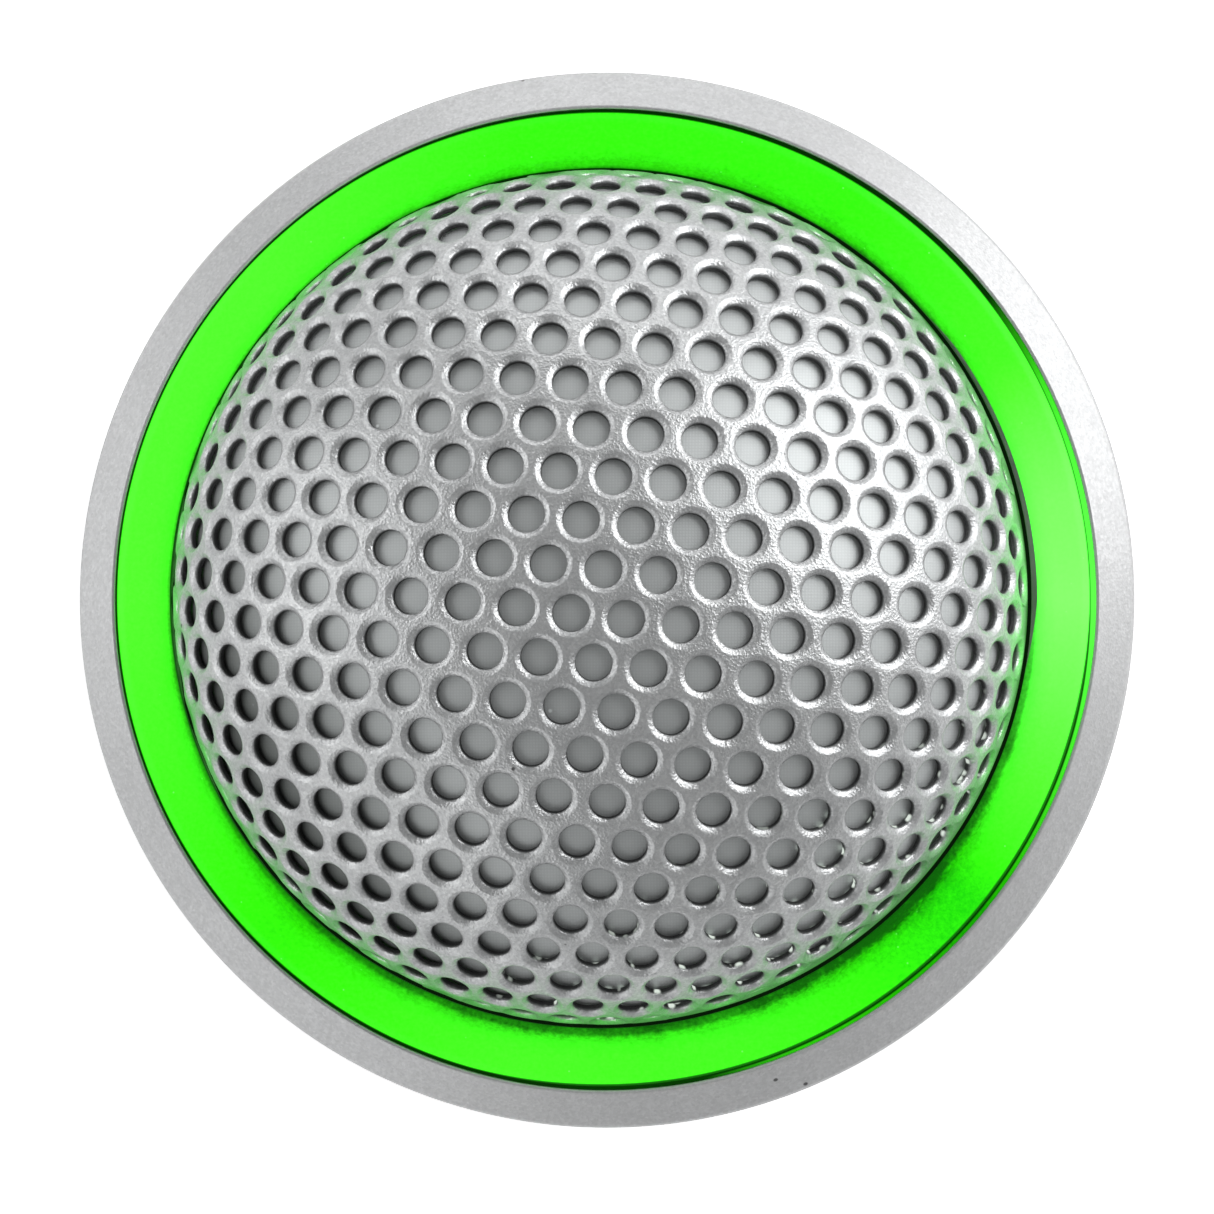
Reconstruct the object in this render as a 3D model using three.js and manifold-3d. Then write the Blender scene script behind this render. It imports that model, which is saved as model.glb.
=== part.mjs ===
// A flush-mount car tweeter with a lit ring: perforated dome grille, green light guide, silver bezel,
// soft-dome motor, threaded barrel with a clamp nut, and a plug-in rear terminal.
// Millimetres. +Z is the way the tweeter fires. The origin is the centre of the flat rear face.
import * as THREE from "three";
import { mergeVertices } from "three/addons/utils/BufferGeometryUtils.js";
import Module from "manifold-3d";

const wasm = await Module();
wasm.setup();

// ---- driving dimensions -------------------------------------------------------------------------

const FLANGE_R = 25; // bezel, the widest part
const RING_OUT_R = 23; // lit ring, as it shows
const RING_IN_R = 20.6;
const RING_FOOT_R = 23.85; // the ring's hidden foot under the bezel

const DOME_R = 20.3; // grille, outside
const DOME_H = 16.5; // height of the half ellipsoid above its equator
const SHEET = 0.5; // grille sheet
const EQUATOR_Z = 25;
const LIP_R = 18.9; // inward lip that the waveguide clamps
const LIP_Z = 22.1;
const HOLE_PITCH = 2.56; // staggered round holes in the flat sheet, along a row
const ROW_GAP = 2.18; // from one row to the next
const HOLE_D = 1.95;
const GRID_TURN = (-6 * Math.PI) / 180; // how the sheet's rows lie round the dome
const GRID_SHIFT = [-0.89, -0.94]; // from the crown to hole (0, 0), along and across the rows
const HOLES_END_Z = 25; // the sheet is plain below this
const RIM_Z = 24.4; // where the plain skirt starts

const BARREL_R = 20.3; // root of the barrel's thread
const BORE_R = 18.6;
const BARREL_REAR_Z = 2.6;
const FLANGE_Z = 20.8; // underside of the housing's flange
const FACE_Z = 22; // front face of the housing
const HOUSING_R = 24.2;
const LEDGE_R = 14.4;
const LEDGE_Z = [16.6, 18.3];

const THREAD_PITCH = 3;
const THREAD_DEPTH = 0.7;
const THREAD_START_Z = 5;
const THREAD_TURNS = 4;
const THREAD_GAP = 0.3; // between a crest and the root it faces
const KEYWAY_W = 3;

const NUT_Z = [8.6, 13.6];
const NUT_R = 23.3;
const LUG_R = 24.4;
const LUGS = 12;
const WASHER_Z = [13.9, 15.1];
const WASHER_R = [21.35, 24.2];

const BOSS_RING_R = 16.6; // circle of the rear cover's screws
const BOSS_R = 2.2;
const BOSS_ANGLES = [30, 150, 270];
const FRAME_SCREW_RING_R = 16.9;
const FRAME_SCREW_ANGLES = [90, 210, 330];

const COVER_R = 20;
const COVER_T = 2;
const SOCKET = { width: 12.6, height: 7.2, depth: 5.6, wall: 1.2, roofZ: 7 };
const PIN_Y = 2.2;
const PIN_PITCH = 2.54;
const PIN_SIDE = 0.64;
const BOARD_Z = [7.4, 8.6];
const BOARD_R = 18.2;

const COIL_R = 9.8; // inside of the voice coil former
const DIAPHRAGM_R = 10.3;
const DIAPHRAGM_H = 3.2;
const DIAPHRAGM_Z = 21.4;
const FABRIC = 0.25; // thickness of the dome and its surround
const SURROUND_R = [10.6, 13.5]; // inner and outer edge of the roll
const SURROUND_FOOT_Z = 20.5;

const WIRE_NOTCH = { from: 16.3, to: 18.9, width: 3.4 }; // where wires pass the ledge, frame and waveguide
const LED_COUNT = 8;

const SMOOTH = 48; // sides of the large rings that show
const BARREL_SIDES = 24;
const INNER_SIDES = 20;
const SCREW_SIDES = 8;
const OVERCUT = 0.5; // how far a cutting tool runs past the face it opens

// ---- small helpers ------------------------------------------------------------------------------

const degrees = (a) => (a * Math.PI) / 180;

// A solid of revolution about Z from a closed outline of [radius, z], given anticlockwise or not.
function turned(outline, sides) {
  const closed = [...outline];
  const onAxis = outline[0][0] === 0 && outline.at(-1)[0] === 0;
  if (!onAxis) closed.push(outline[0]);
  let area = 0;
  outline.forEach(([r, z], i) => {
    const [r2, z2] = outline[(i + 1) % outline.length];
    area += r * z2 - r2 * z;
  });
  if (area < 0) closed.reverse();
  const points = closed.map(([r, z]) => new THREE.Vector2(r, z));
  return new THREE.LatheGeometry(points, sides).rotateX(Math.PI / 2);
}

// A plain ring or, with inner 0, a disc.
function ring(inner, outer, z0, z1, sides = INNER_SIDES) {
  return turned([[inner, z0], [outer, z0], [outer, z1], [inner, z1]], sides);
}

function cylinder(radius, z0, z1, x = 0, y = 0, sides = SCREW_SIDES) {
  return new THREE.CylinderGeometry(radius, radius, z1 - z0, sides)
    .rotateX(Math.PI / 2)
    .translate(x, y, (z0 + z1) / 2);
}

function block(x0, x1, y0, y1, z0, z1) {
  return new THREE.BoxGeometry(x1 - x0, y1 - y0, z1 - z0)
    .translate((x0 + x1) / 2, (y0 + y1) / 2, (z0 + z1) / 2);
}

// Booleans go through manifold solids and come back as geometry.
function solid(geometry) {
  const bare = geometry.clone();
  for (const name of Object.keys(bare.attributes)) {
    if (name !== "position") bare.deleteAttribute(name);
  }
  const merged = mergeVertices(bare, 1e-4);
  return new wasm.Manifold(new wasm.Mesh({
    numProp: 3,
    vertProperties: merged.attributes.position.array,
    triVerts: new Uint32Array(merged.index.array),
  }));
}

function geometryOf(body) {
  const mesh = body.getMesh();
  return new THREE.BufferGeometry()
    .setAttribute("position", new THREE.BufferAttribute(mesh.vertProperties, 3))
    .setIndex(new THREE.BufferAttribute(mesh.triVerts, 1));
}

const joined = (first, ...rest) =>
  geometryOf(rest.reduce((sum, g) => sum.add(solid(g)), solid(first)));

const cut = (first, ...tools) =>
  geometryOf(tools.reduce((left, g) => left.subtract(solid(g)), solid(first)));

// x and y of a point on a circle, the angle in degrees.
const onCircle = (radius, angle) =>
  [radius * Math.cos(degrees(angle)), radius * Math.sin(degrees(angle))];

// ---- materials ----------------------------------------------------------------------------------

const finish = (color, roughness, metalness) =>
  new THREE.MeshStandardMaterial({ color, roughness, metalness });

const silver = finish(0xb9bcbb, 0.38, 0.85);
const ringGreen = finish(0x38ff10, 0.35, 0);
ringGreen.emissive = new THREE.Color(0x1fc400);
const scrimGrey = finish(0x8a8e8c, 0.95, 0);
const blackPlastic = finish(0x17181a, 0.55, 0);
const darkPlastic = finish(0x26282a, 0.5, 0);
const foamBlack = finish(0x1c1c1c, 0.95, 0);
const rubber = finish(0x141414, 0.85, 0);
const zincSteel = finish(0xa9acae, 0.35, 1);
const magnetNickel = finish(0xc4c3bd, 0.22, 1);
const silk = finish(0x22201f, 0.8, 0);
const copper = finish(0xb46a3c, 0.3, 1);
const kapton = finish(0xa5702a, 0.4, 0);
const felt = finish(0x6d6a64, 1, 0);
const boardGreen = finish(0x1d5a35, 0.5, 0);
const boardWhite = finish(0xe9ebe7, 0.5, 0);
const ledYellow = finish(0xe8e3b0, 0.3, 0);
const tin = finish(0xd2cda8, 0.25, 1);
const wireRed = finish(0x9c1c18, 0.5, 0);
const wireBlack = finish(0x151515, 0.5, 0);

const tweeter = new THREE.Group();

function add(name, geometry, material, parent = tweeter) {
  const mesh = new THREE.Mesh(geometry, material);
  mesh.name = name;
  parent.add(mesh);
  return mesh;
}

// ---- grille: a flat perforated sheet drawn into a half ellipsoid -----------------------------------

// Drawing keeps the sheet's area, so a hole at flat radius f ends where the dome's area above it is pi f^2.
const stretch = Math.sqrt(DOME_R ** 2 - DOME_H ** 2);
const areaTerm = (c) =>
  (c / 2) * Math.sqrt(DOME_H ** 2 + (stretch * c) ** 2) +
  (DOME_H ** 2 / (2 * stretch)) * Math.asinh((stretch * c) / DOME_H);
const flatRadius = (c) => Math.sqrt(2 * DOME_R * (areaTerm(1) - areaTerm(c)));
const EQUATOR_FLAT_R = flatRadius(0);

// The outer surface at a flat radius, as [radius, z, normal's radial part, normal's z part].
function drawnTo(flat) {
  if (flat >= EQUATOR_FLAT_R) {
    const drop = (flat ** 2 - EQUATOR_FLAT_R ** 2) / (2 * DOME_R);
    return [DOME_R, EQUATOR_Z - drop, 1, 0];
  }
  let [low, high] = [0, 1];
  for (let i = 0; i < 40; i += 1) {
    const c = (low + high) / 2;
    if (flatRadius(c) > flat) low = c;
    else high = c;
  }
  const s = Math.sqrt(1 - low ** 2);
  const normal = new THREE.Vector2(DOME_H * s, DOME_R * low).normalize();
  return [DOME_R * s, EQUATOR_Z + DOME_H * low, normal.x, normal.y];
}

// A point of the flat sheet carried to the dome, offset along the surface normal.
function onDome(x, y, offset) {
  const flat = Math.hypot(x, y);
  const [r, z, nr, nz] = drawnTo(flat);
  const reach = (r + nr * offset) / flat;
  return [x * reach, y * reach, z + nz * offset];
}

// Centre of hole (i, j) in the flat sheet; j counts rows.
function holeCentre(i, j) {
  const u = (i + j / 2) * HOLE_PITCH + GRID_SHIFT[0];
  const v = j * ROW_GAP + GRID_SHIFT[1];
  const [c, s] = [Math.cos(GRID_TURN), Math.sin(GRID_TURN)];
  return [c * u - s * v, s * u + c * v];
}

// The flat sheet without its plain rim. Each hole is a hexagon as large as the round hole, with its
// corners at 30, 90, 150... degrees to the rows, so that corner k points between neighbours k and k + 1.
function perforatedField() {
  const corner = (HOLE_D / 2) * Math.sqrt((2 * Math.PI) / (3 * Math.sqrt(3)));
  const points = [];
  const first = new Map();
  const reach = 2 * Math.ceil(EQUATOR_FLAT_R / HOLE_PITCH);
  for (let j = -reach; j <= reach; j += 1) {
    for (let i = -reach; i <= reach; i += 1) {
      const [x, y] = holeCentre(i, j);
      if (drawnTo(Math.hypot(x, y) + corner)[1] < HOLES_END_Z) continue;
      first.set(`${i},${j}`, points.length);
      for (let k = 0; k < 6; k += 1) {
        const a = GRID_TURN + degrees(30 + 60 * k);
        points.push(new THREE.Vector2(x + corner * Math.cos(a), y + corner * Math.sin(a)));
      }
    }
  }
  const neighbours = [[1, 0], [0, 1], [-1, 1]];
  const web = [];
  for (const [name, own] of first) {
    const [i, j] = name.split(",").map(Number);
    const found = neighbours.map(([di, dj]) => first.get(`${i + di},${j + dj}`));
    for (let d = 0; d < 3; d += 1) {
      const other = found[d];
      if (other === undefined) continue;
      const [a, b] = [own + ((d + 5) % 6), own + d];
      const [p, q] = [other + ((d + 3) % 6), other + ((d + 2) % 6)];
      web.push([a, p, q], [a, q, b]);
      if (d < 2 && found[d + 1] !== undefined) web.push([b, q, found[d + 1] + ((d + 4) % 6)]);
    }
  }
  return { points, web, holes: [...first.values()] };
}

// The closed loop round a set of faces, as a list of point numbers.
function outline(faces) {
  const sides = faces.flatMap((face) => face.map((a, k) => [a, face[(k + 1) % face.length]]));
  const edges = new Set(sides.map(([a, b]) => `${a},${b}`));
  const follow = new Map(sides.filter(([a, b]) => !edges.has(`${b},${a}`)));
  const loop = [];
  let at = follow.keys().next().value;
  while (loop[0] !== at) {
    loop.push(at);
    at = follow.get(at);
  }
  return loop;
}

// Faces between two loops that both run anticlockwise, always closing the shorter diagonal.
function band(points, inner, outer) {
  const faces = [];
  const away = (a, b) => points[a].distanceTo(points[b]);
  const nearest = outer.reduce((best, n, i) =>
    (away(n, inner[0]) < away(outer[best], inner[0]) ? i : best), 0);
  let [i, o] = [0, 0];
  while (i < inner.length || o < outer.length) {
    const [a, a2] = [inner[i % inner.length], inner[(i + 1) % inner.length]];
    const [b, b2] = [0, 1].map((k) => outer[(nearest + o + k) % outer.length]);
    const outward = i === inner.length || (o < outer.length && away(a, b2) < away(a2, b));
    if (outward) {
      faces.push([a, b, b2]);
      o += 1;
    } else {
      faces.push([a, b, a2]);
      i += 1;
    }
  }
  return faces;
}

// The sheet with its rim: flat points, the faces between them, the holes, and the rim's points.
function flatSheet() {
  const { points, web, holes } = perforatedField();
  const hexagons = holes.map((h) => [0, 1, 2, 3, 4, 5].map((k) => h + k));
  const rimRadius = Math.sqrt(EQUATOR_FLAT_R ** 2 + 2 * DOME_R * (EQUATOR_Z - RIM_Z));
  const rim = Array.from({ length: SMOOTH }, (_, i) => points.length + i);
  for (let i = 0; i < SMOOTH; i += 1) {
    const a = (i / SMOOTH) * 2 * Math.PI;
    points.push(new THREE.Vector2(rimRadius * Math.cos(a), rimRadius * Math.sin(a)));
  }
  const faces = [...web, ...band(points, outline([...web, ...hexagons]), rim)];
  return { points, faces, holes, rim };
}

function grille() {
  const { points, faces, holes, rim } = flatSheet();
  const count = points.length;
  const positions = [0, -SHEET].flatMap((offset) => points.flatMap((p) => onDome(p.x, p.y, offset)));
  const index = faces.flatMap(([a, b, c]) => [a, b, c, count + a, count + c, count + b]);
  const wall = (a, b, c, d) => index.push(a, b, c, a, c, d);
  for (const h of holes) {
    for (let k = 0; k < 6; k += 1) {
      const [a, b] = [h + k, h + ((k + 1) % 6)];
      wall(a, b, count + b, count + a);
    }
  }
  const skirt = [
    [DOME_R, LIP_Z],
    [LIP_R, LIP_Z],
    [LIP_R, LIP_Z + SHEET],
    [DOME_R - SHEET, LIP_Z + SHEET],
  ];
  const rings = [rim];
  for (const [r, z] of skirt) {
    rings.push(rim.map((_, i) => positions.length / 3 + i));
    rim.forEach((_, i) => {
      const a = (i / SMOOTH) * 2 * Math.PI;
      positions.push(r * Math.cos(a), r * Math.sin(a), z);
    });
  }
  rings.push(rim.map((n) => count + n));
  for (let s = 0; s + 1 < rings.length; s += 1) {
    for (let i = 0; i < SMOOTH; i += 1) {
      const next = (i + 1) % SMOOTH;
      wall(rings[s][i], rings[s + 1][i], rings[s + 1][next], rings[s][next]);
    }
  }
  return new THREE.BufferGeometry()
    .setAttribute("position", new THREE.Float32BufferAttribute(positions, 3))
    .setIndex(index);
}

// Half-ellipse outline from the crown to the equator.
function meridian(radius, height, steps) {
  return Array.from({ length: steps + 1 }, (_, i) => {
    const t = ((i / steps) * Math.PI) / 2;
    return [i ? radius * Math.sin(t) : 0, EQUATOR_Z + height * Math.cos(t)];
  });
}

function scrim() {
  const [thickness, gap, hem] = [0.3, 0.4, 23.9];
  const [radius, height] = [DOME_R - SHEET - gap, DOME_H - SHEET - gap];
  return turned([
    ...meridian(radius, height, 7),
    [radius, hem],
    [radius - thickness, hem],
    ...meridian(radius - thickness, height - thickness, 7).reverse(),
  ], BARREL_SIDES);
}

// ---- lit ring, its board and the bezel ------------------------------------------------------------

function lightRing() {
  return turned([
    [RING_IN_R, 24.1],
    [RING_FOOT_R, 24.1],
    [RING_FOOT_R, 24.6],
    [RING_OUT_R, 24.6],
    [RING_OUT_R, 25.75],
    [22.6, 25.98],
    [21.9, 26],
    [21.2, 25.8],
    [20.8, 25.5],
    [RING_IN_R, 25],
  ], SMOOTH);
}

function bezel() {
  return turned([
    [RING_OUT_R + 0.17, 24.8],
    [RING_OUT_R + 0.17, 25.85],
    [23.3, 25.95],
    [24.92, 24.22],
    [FLANGE_R, 24],
    [FLANGE_R, 20.4],
    [24, 20.4],
    [24, 20.7],
    [HOUSING_R + 0.2, 20.75],
    [HOUSING_R + 0.2, 24.1],
    [23.95, 24.8],
  ], SMOOTH);
}

function addLights() {
  const [boardTop, ledTop, ledRingR] = [22.9, 23.8, 22.1];
  add("led_board", ring(20.8, 23.4, FACE_Z + 0.1, boardTop, BARREL_SIDES), boardWhite);
  for (let i = 0; i < LED_COUNT; i += 1) {
    const led = block(-0.6, 0.6, -1, 1, boardTop + 0.1, ledTop)
      .translate(ledRingR, 0, 0)
      .rotateZ(degrees((360 / LED_COUNT) * (i + 0.5)));
    add(`led_${i + 1}`, led, ledYellow);
  }
}

// ---- housing: flange, threaded barrel, inner ledge and screw bosses --------------------------------

// A trapezoid ridge along a helix. Root and crest are radii; its ends taper away to the root.
function helicalRidge(root, crest, rootWidth, crestWidth, startZ, turns) {
  const positions = [];
  const index = [];
  const steps = Math.round(turns * BARREL_SIDES);
  const taper = BARREL_SIDES / 6;
  for (let i = 0; i <= steps; i += 1) {
    const angle = (i / BARREL_SIDES) * 2 * Math.PI;
    const z = startZ + (i / BARREL_SIDES) * THREAD_PITCH;
    const grown = Math.min(1, (i + 0.5) / taper, (steps - i + 0.5) / taper);
    const top = root + (crest - root) * grown;
    for (const [r, half] of [
      [root, -rootWidth / 2],
      [top, -crestWidth / 2],
      [top, crestWidth / 2],
      [root, rootWidth / 2],
    ]) {
      positions.push(r * Math.cos(angle), r * Math.sin(angle), z + half);
    }
  }
  for (let i = 0; i < steps; i += 1) {
    for (let k = 0; k < 4; k += 1) {
      const [a, b] = [4 * i + k, 4 * i + ((k + 1) % 4)];
      index.push(a, b + 4, b, a, a + 4, b + 4);
    }
  }
  const last = 4 * steps;
  index.push(0, 1, 2, 0, 2, 3, last, last + 2, last + 1, last, last + 3, last + 2);
  const geometry = new THREE.BufferGeometry()
    .setAttribute("position", new THREE.Float32BufferAttribute(positions, 3))
    .setIndex(index);
  if (solid(geometry).volume() < 0) geometry.index.array.reverse();
  return geometry;
}

// The two keyways that stop the washer turning; also the shape of the washer's keys when narrower.
function keys(inner, outer, width, z0, z1) {
  return [1, -1].map((side) => {
    const [a, b] = side > 0 ? [inner, outer] : [-outer, -inner];
    return block(a, b, -width / 2, width / 2, z0, z1);
  });
}

// The way for wires past a rim at the given side of the axis: 1 for +X, -1 for -X.
function wireNotch(side, z0, z1) {
  const [a, b] = [side * WIRE_NOTCH.from, side * WIRE_NOTCH.to];
  const half = WIRE_NOTCH.width / 2;
  return block(Math.min(a, b), Math.max(a, b), -half, half, z0, z1);
}

function housing() {
  const shell = turned([
    [BORE_R, BARREL_REAR_Z],
    [BARREL_R, BARREL_REAR_Z],
    [BARREL_R, FLANGE_Z],
    [HOUSING_R, FLANGE_Z],
    [HOUSING_R, 24],
    [23.6, 24],
    [23.6, FACE_Z],
    [BORE_R, FACE_Z],
    [BORE_R, LEDGE_Z[1]],
    [LEDGE_R, LEDGE_Z[1]],
    [LEDGE_R, LEDGE_Z[0]],
    [BORE_R, LEDGE_Z[0]],
  ], BARREL_SIDES);
  const ridge = helicalRidge(
    BARREL_R - 0.4, BARREL_R + THREAD_DEPTH, 1.9, 0.9, THREAD_START_Z, THREAD_TURNS,
  );
  const bosses = BOSS_ANGLES.map((a) =>
    cylinder(BOSS_R, BARREL_REAR_Z + 0.1, LEDGE_Z[0] + OVERCUT, ...onCircle(BOSS_RING_R, a), 12));
  const pilots = BOSS_ANGLES.map((a) =>
    cylinder(1.05, BARREL_REAR_Z - OVERCUT, 11, ...onCircle(BOSS_RING_R, a), 8));
  const frameHoles = FRAME_SCREW_ANGLES.map((a) =>
    cylinder(0.95, LEDGE_Z[0] - OVERCUT, LEDGE_Z[1] + OVERCUT, ...onCircle(FRAME_SCREW_RING_R, a), 8));
  const keyways = keys(BARREL_R + 0.02, BARREL_R + 2, KEYWAY_W, 3, FLANGE_Z - 0.1);
  const ledWires = block(BORE_R - 1, 21.5, -1.7, 1.7, 21.2, FACE_Z + OVERCUT);
  return cut(
    joined(shell, ridge, ...bosses),
    ...pilots,
    ...frameHoles,
    ...keyways,
    wireNotch(1, LEDGE_Z[0] - OVERCUT, LEDGE_Z[1] + OVERCUT)
      .translate(BORE_R - WIRE_NOTCH.to, 0, 0),
    wireNotch(-1, LEDGE_Z[0] - OVERCUT, LEDGE_Z[1] + OVERCUT)
      .translate(WIRE_NOTCH.to - BORE_R, 0, 0),
    ledWires,
  );
}

const panelGasket = () => ring(21.6, 23.6, FLANGE_Z - 0.6, FLANGE_Z - 0.1, BARREL_SIDES);

// ---- clamp: a keyed washer that only slides, and a nut that screws along the barrel ----------------

function slipWasher() {
  const [inner, outer] = WASHER_R;
  const plate = ring(inner, outer, ...WASHER_Z, BARREL_SIDES);
  return joined(plate, ...keys(BARREL_R + 0.35, inner + 0.6, KEYWAY_W - 0.8, ...WASHER_Z));
}

function clampNut() {
  const root = BARREL_R + THREAD_DEPTH + THREAD_GAP;
  const body = turned([
    [root, NUT_Z[0]],
    [NUT_R - 0.4, NUT_Z[0]],
    [NUT_R, NUT_Z[0] + 0.4],
    [NUT_R, NUT_Z[1]],
    [root, NUT_Z[1]],
  ], BARREL_SIDES);
  const lugs = Array.from({ length: LUGS }, (_, i) =>
    block(NUT_R - 0.5, LUG_R, -1.5, 1.5, NUT_Z[0] + 0.6, NUT_Z[1])
      .rotateZ(degrees((360 / LUGS) * (i + 0.5))));
  // Half a pitch out of step with the barrel's ridge, so each runs in the other's groove.
  const turnsUp = Math.ceil((NUT_Z[0] + 0.75 - THREAD_START_Z) / THREAD_PITCH - 0.5) + 0.5;
  const ridge = helicalRidge(
    root + 0.4, BARREL_R + THREAD_GAP, 1.3, 0.6, THREAD_START_Z + turnsUp * THREAD_PITCH, 1,
  );
  return joined(body, ridge, ...lugs);
}

// ---- motor and diaphragm --------------------------------------------------------------------------

function pot() {
  const [outer, inner, z0, floor, top] = [13.5, 11, 10, 12.6, LEDGE_Z[1]];
  return turned(
    [[0, z0], [outer, z0], [outer, top], [inner, top], [inner, floor], [0, floor]],
    INNER_SIDES,
  );
}

// Outline of a spherical cap from the crown down to its base radius.
function capOutline(base, height, baseZ, steps) {
  const sphere = (base ** 2 + height ** 2) / (2 * height);
  const half = Math.asin(base / sphere);
  return Array.from({ length: steps + 1 }, (_, i) => {
    const t = (i / steps) * half;
    return [i ? sphere * Math.sin(t) : 0, baseZ + height - sphere * (1 - Math.cos(t))];
  });
}

function diaphragm() {
  const collarZ = DIAPHRAGM_Z - 0.5;
  const inner = DIAPHRAGM_R - 0.3;
  return turned([
    ...capOutline(DIAPHRAGM_R, DIAPHRAGM_H, DIAPHRAGM_Z, 4),
    [DIAPHRAGM_R, collarZ],
    [inner, collarZ],
    ...capOutline(inner, DIAPHRAGM_H - FABRIC, DIAPHRAGM_Z, 4).reverse(),
  ], INNER_SIDES);
}

// A half roll whose inner edge stands higher than its clamped foot.
function surround() {
  const [inner, outer] = SURROUND_R;
  const [rise, bulge, rim] = [0.8, 0.9, 15.4];
  const roll = Array.from({ length: 7 }, (_, i) => {
    const s = i / 6;
    const r = (inner + outer) / 2 + ((outer - inner) / 2) * Math.cos(s * Math.PI);
    return [r, SURROUND_FOOT_Z + rise * s + bulge * Math.sin(s * Math.PI)];
  });
  return turned([
    [rim, SURROUND_FOOT_Z],
    ...roll,
    ...roll.map(([r, z]) => [r, z + FABRIC]).reverse(),
    [rim, SURROUND_FOOT_Z + FABRIC],
  ], INNER_SIDES);
}

function diaphragmFrame() {
  const body = turned([
    [11.4, 18.6],
    [18.3, 18.6],
    [18.3, 20.4],
    [13.7, 20.4],
    [13.7, 19.7],
    [11.4, 19.7],
  ], BARREL_SIDES);
  const holes = FRAME_SCREW_ANGLES.map((a) =>
    cylinder(0.95, 18, 21, ...onCircle(FRAME_SCREW_RING_R, a), 8));
  return cut(
    body,
    ...holes,
    wireNotch(1, 18, 21),
    wireNotch(-1, 18, 21),
    block(-17, -13, -1.7, 1.7, 19.3, 21),
  );
}

function waveguide() {
  const body = turned([
    [14, 20.85],
    [18.3, 20.85],
    [18.3, LIP_Z + SHEET + 0.1],
    [19.5, LIP_Z + SHEET + 0.1],
    [19.5, 23.7],
    [18.6, 23.7],
    [16.8, 23.3],
    [15.2, 22.5],
    [14.3, 21.6],
  ], BARREL_SIDES);
  const tools = FRAME_SCREW_ANGLES.flatMap((a) => {
    const at = onCircle(FRAME_SCREW_RING_R, a);
    return [cylinder(0.95, 20, 24, ...at, 8), cylinder(1.6, 22.2, 25, ...at)];
  });
  return cut(body, ...tools, wireNotch(1, 20, LIP_Z + SHEET + 0.05));
}

// A screw along Z: a head at one end, a shank to the other, and a cross recess in the head.
function screw(headR, headZ0, headZ1, shankR, tipZ, x, y) {
  const up = tipZ > headZ1;
  const outline = up
    ? [[0, headZ0], [headR, headZ0], [headR, headZ1], [shankR, headZ1], [shankR, tipZ], [0, tipZ]]
    : [[0, tipZ], [shankR, tipZ], [shankR, headZ0], [headR, headZ0], [headR, headZ1], [0, headZ1]];
  const [floor, mouth] = up
    ? [headZ0 + (headZ1 - headZ0) * 0.6, headZ0 - OVERCUT]
    : [headZ1 - (headZ1 - headZ0) * 0.6, headZ1 + OVERCUT];
  const [z0, z1] = [Math.min(floor, mouth), Math.max(floor, mouth)];
  const [long, thin] = [headR * 0.6, headR * 0.14];
  return cut(
    turned(outline, SCREW_SIDES),
    block(-long, long, -thin, thin, z0, z1),
    block(-thin, thin, -long, long, z0, z1),
  ).translate(x, y, 0);
}

function addMotor() {
  const [magnetZ, plateZ] = [[12.7, 15.8], [15.9, LEDGE_Z[1]]];
  add("pot", pot(), zincSteel);
  add("magnet", ring(0, 9, ...magnetZ), magnetNickel);
  add("top_plate", ring(0, 9.5, ...plateZ), zincSteel);
  add("damping_pad", ring(0, 8.2, plateZ[1] + 0.1, plateZ[1] + 1.3), felt);
  add("chamber_pad", ring(6.5, 13, BOARD_Z[1] + 0.1, 9.9), felt);
  add("coil_former", ring(COIL_R, COIL_R + 0.15, 15.4, 21.2), kapton);
  add("voice_coil", ring(COIL_R + 0.2, COIL_R + 0.6, 15.6, 18.6), copper);
  add("diaphragm", diaphragm(), silk);
  add("surround", surround(), silk);
  add("diaphragm_frame", diaphragmFrame(), darkPlastic);
  add("waveguide", waveguide(), darkPlastic);
  FRAME_SCREW_ANGLES.forEach((a, i) => {
    const body = screw(1.2, 22.3, 23, 0.6, 17, ...onCircle(FRAME_SCREW_RING_R, a));
    add(`frame_screw_${i + 1}`, body, zincSteel);
  });
}

// ---- rear: cover with its plug socket, terminals and crossover board -------------------------------

const pinXs = [-1.5, -0.5, 0.5, 1.5].map((k) => k * PIN_PITCH);

function rearCover() {
  const plate = turned(
    [[0, 0], [COVER_R - 0.6, 0], [COVER_R, 0.6], [COVER_R, COVER_T], [0, COVER_T]],
    BARREL_SIDES,
  );
  const [w, h] = [SOCKET.width / 2, SOCKET.height / 2];
  const well = block(
    -w - SOCKET.wall, w + SOCKET.wall, -h - SOCKET.wall, h + SOCKET.wall,
    COVER_T - OVERCUT, SOCKET.roofZ,
  );
  const tools = BOSS_ANGLES.flatMap((a) => {
    const at = onCircle(BOSS_RING_R, a);
    return [cylinder(1.1, -OVERCUT, 3, ...at), cylinder(1.95, -OVERCUT, 1.25, ...at)];
  });
  return cut(
    joined(plate, well),
    block(-w, w, -h, h, -OVERCUT, SOCKET.depth),
    block(-5.8, 5.8, PIN_Y - 1.25, PIN_Y + 1.25, SOCKET.depth - OVERCUT, SOCKET.roofZ + OVERCUT),
    ...tools,
  );
}

function pinHoles(side, z0, z1) {
  return pinXs.map((x) => block(x - side, x + side, PIN_Y - side, PIN_Y + side, z0, z1));
}

function crossoverBoard() {
  const notches = BOSS_ANGLES.map((a) =>
    cylinder(BOSS_R + 0.4, BOARD_Z[0] - 1, BOARD_Z[1] + 1, ...onCircle(BOSS_RING_R, a), 12));
  return cut(
    ring(0, BOARD_R, ...BOARD_Z, BARREL_SIDES),
    ...notches,
    ...pinHoles(0.5, BOARD_Z[0] - 1, BOARD_Z[1] + 1),
  );
}

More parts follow.
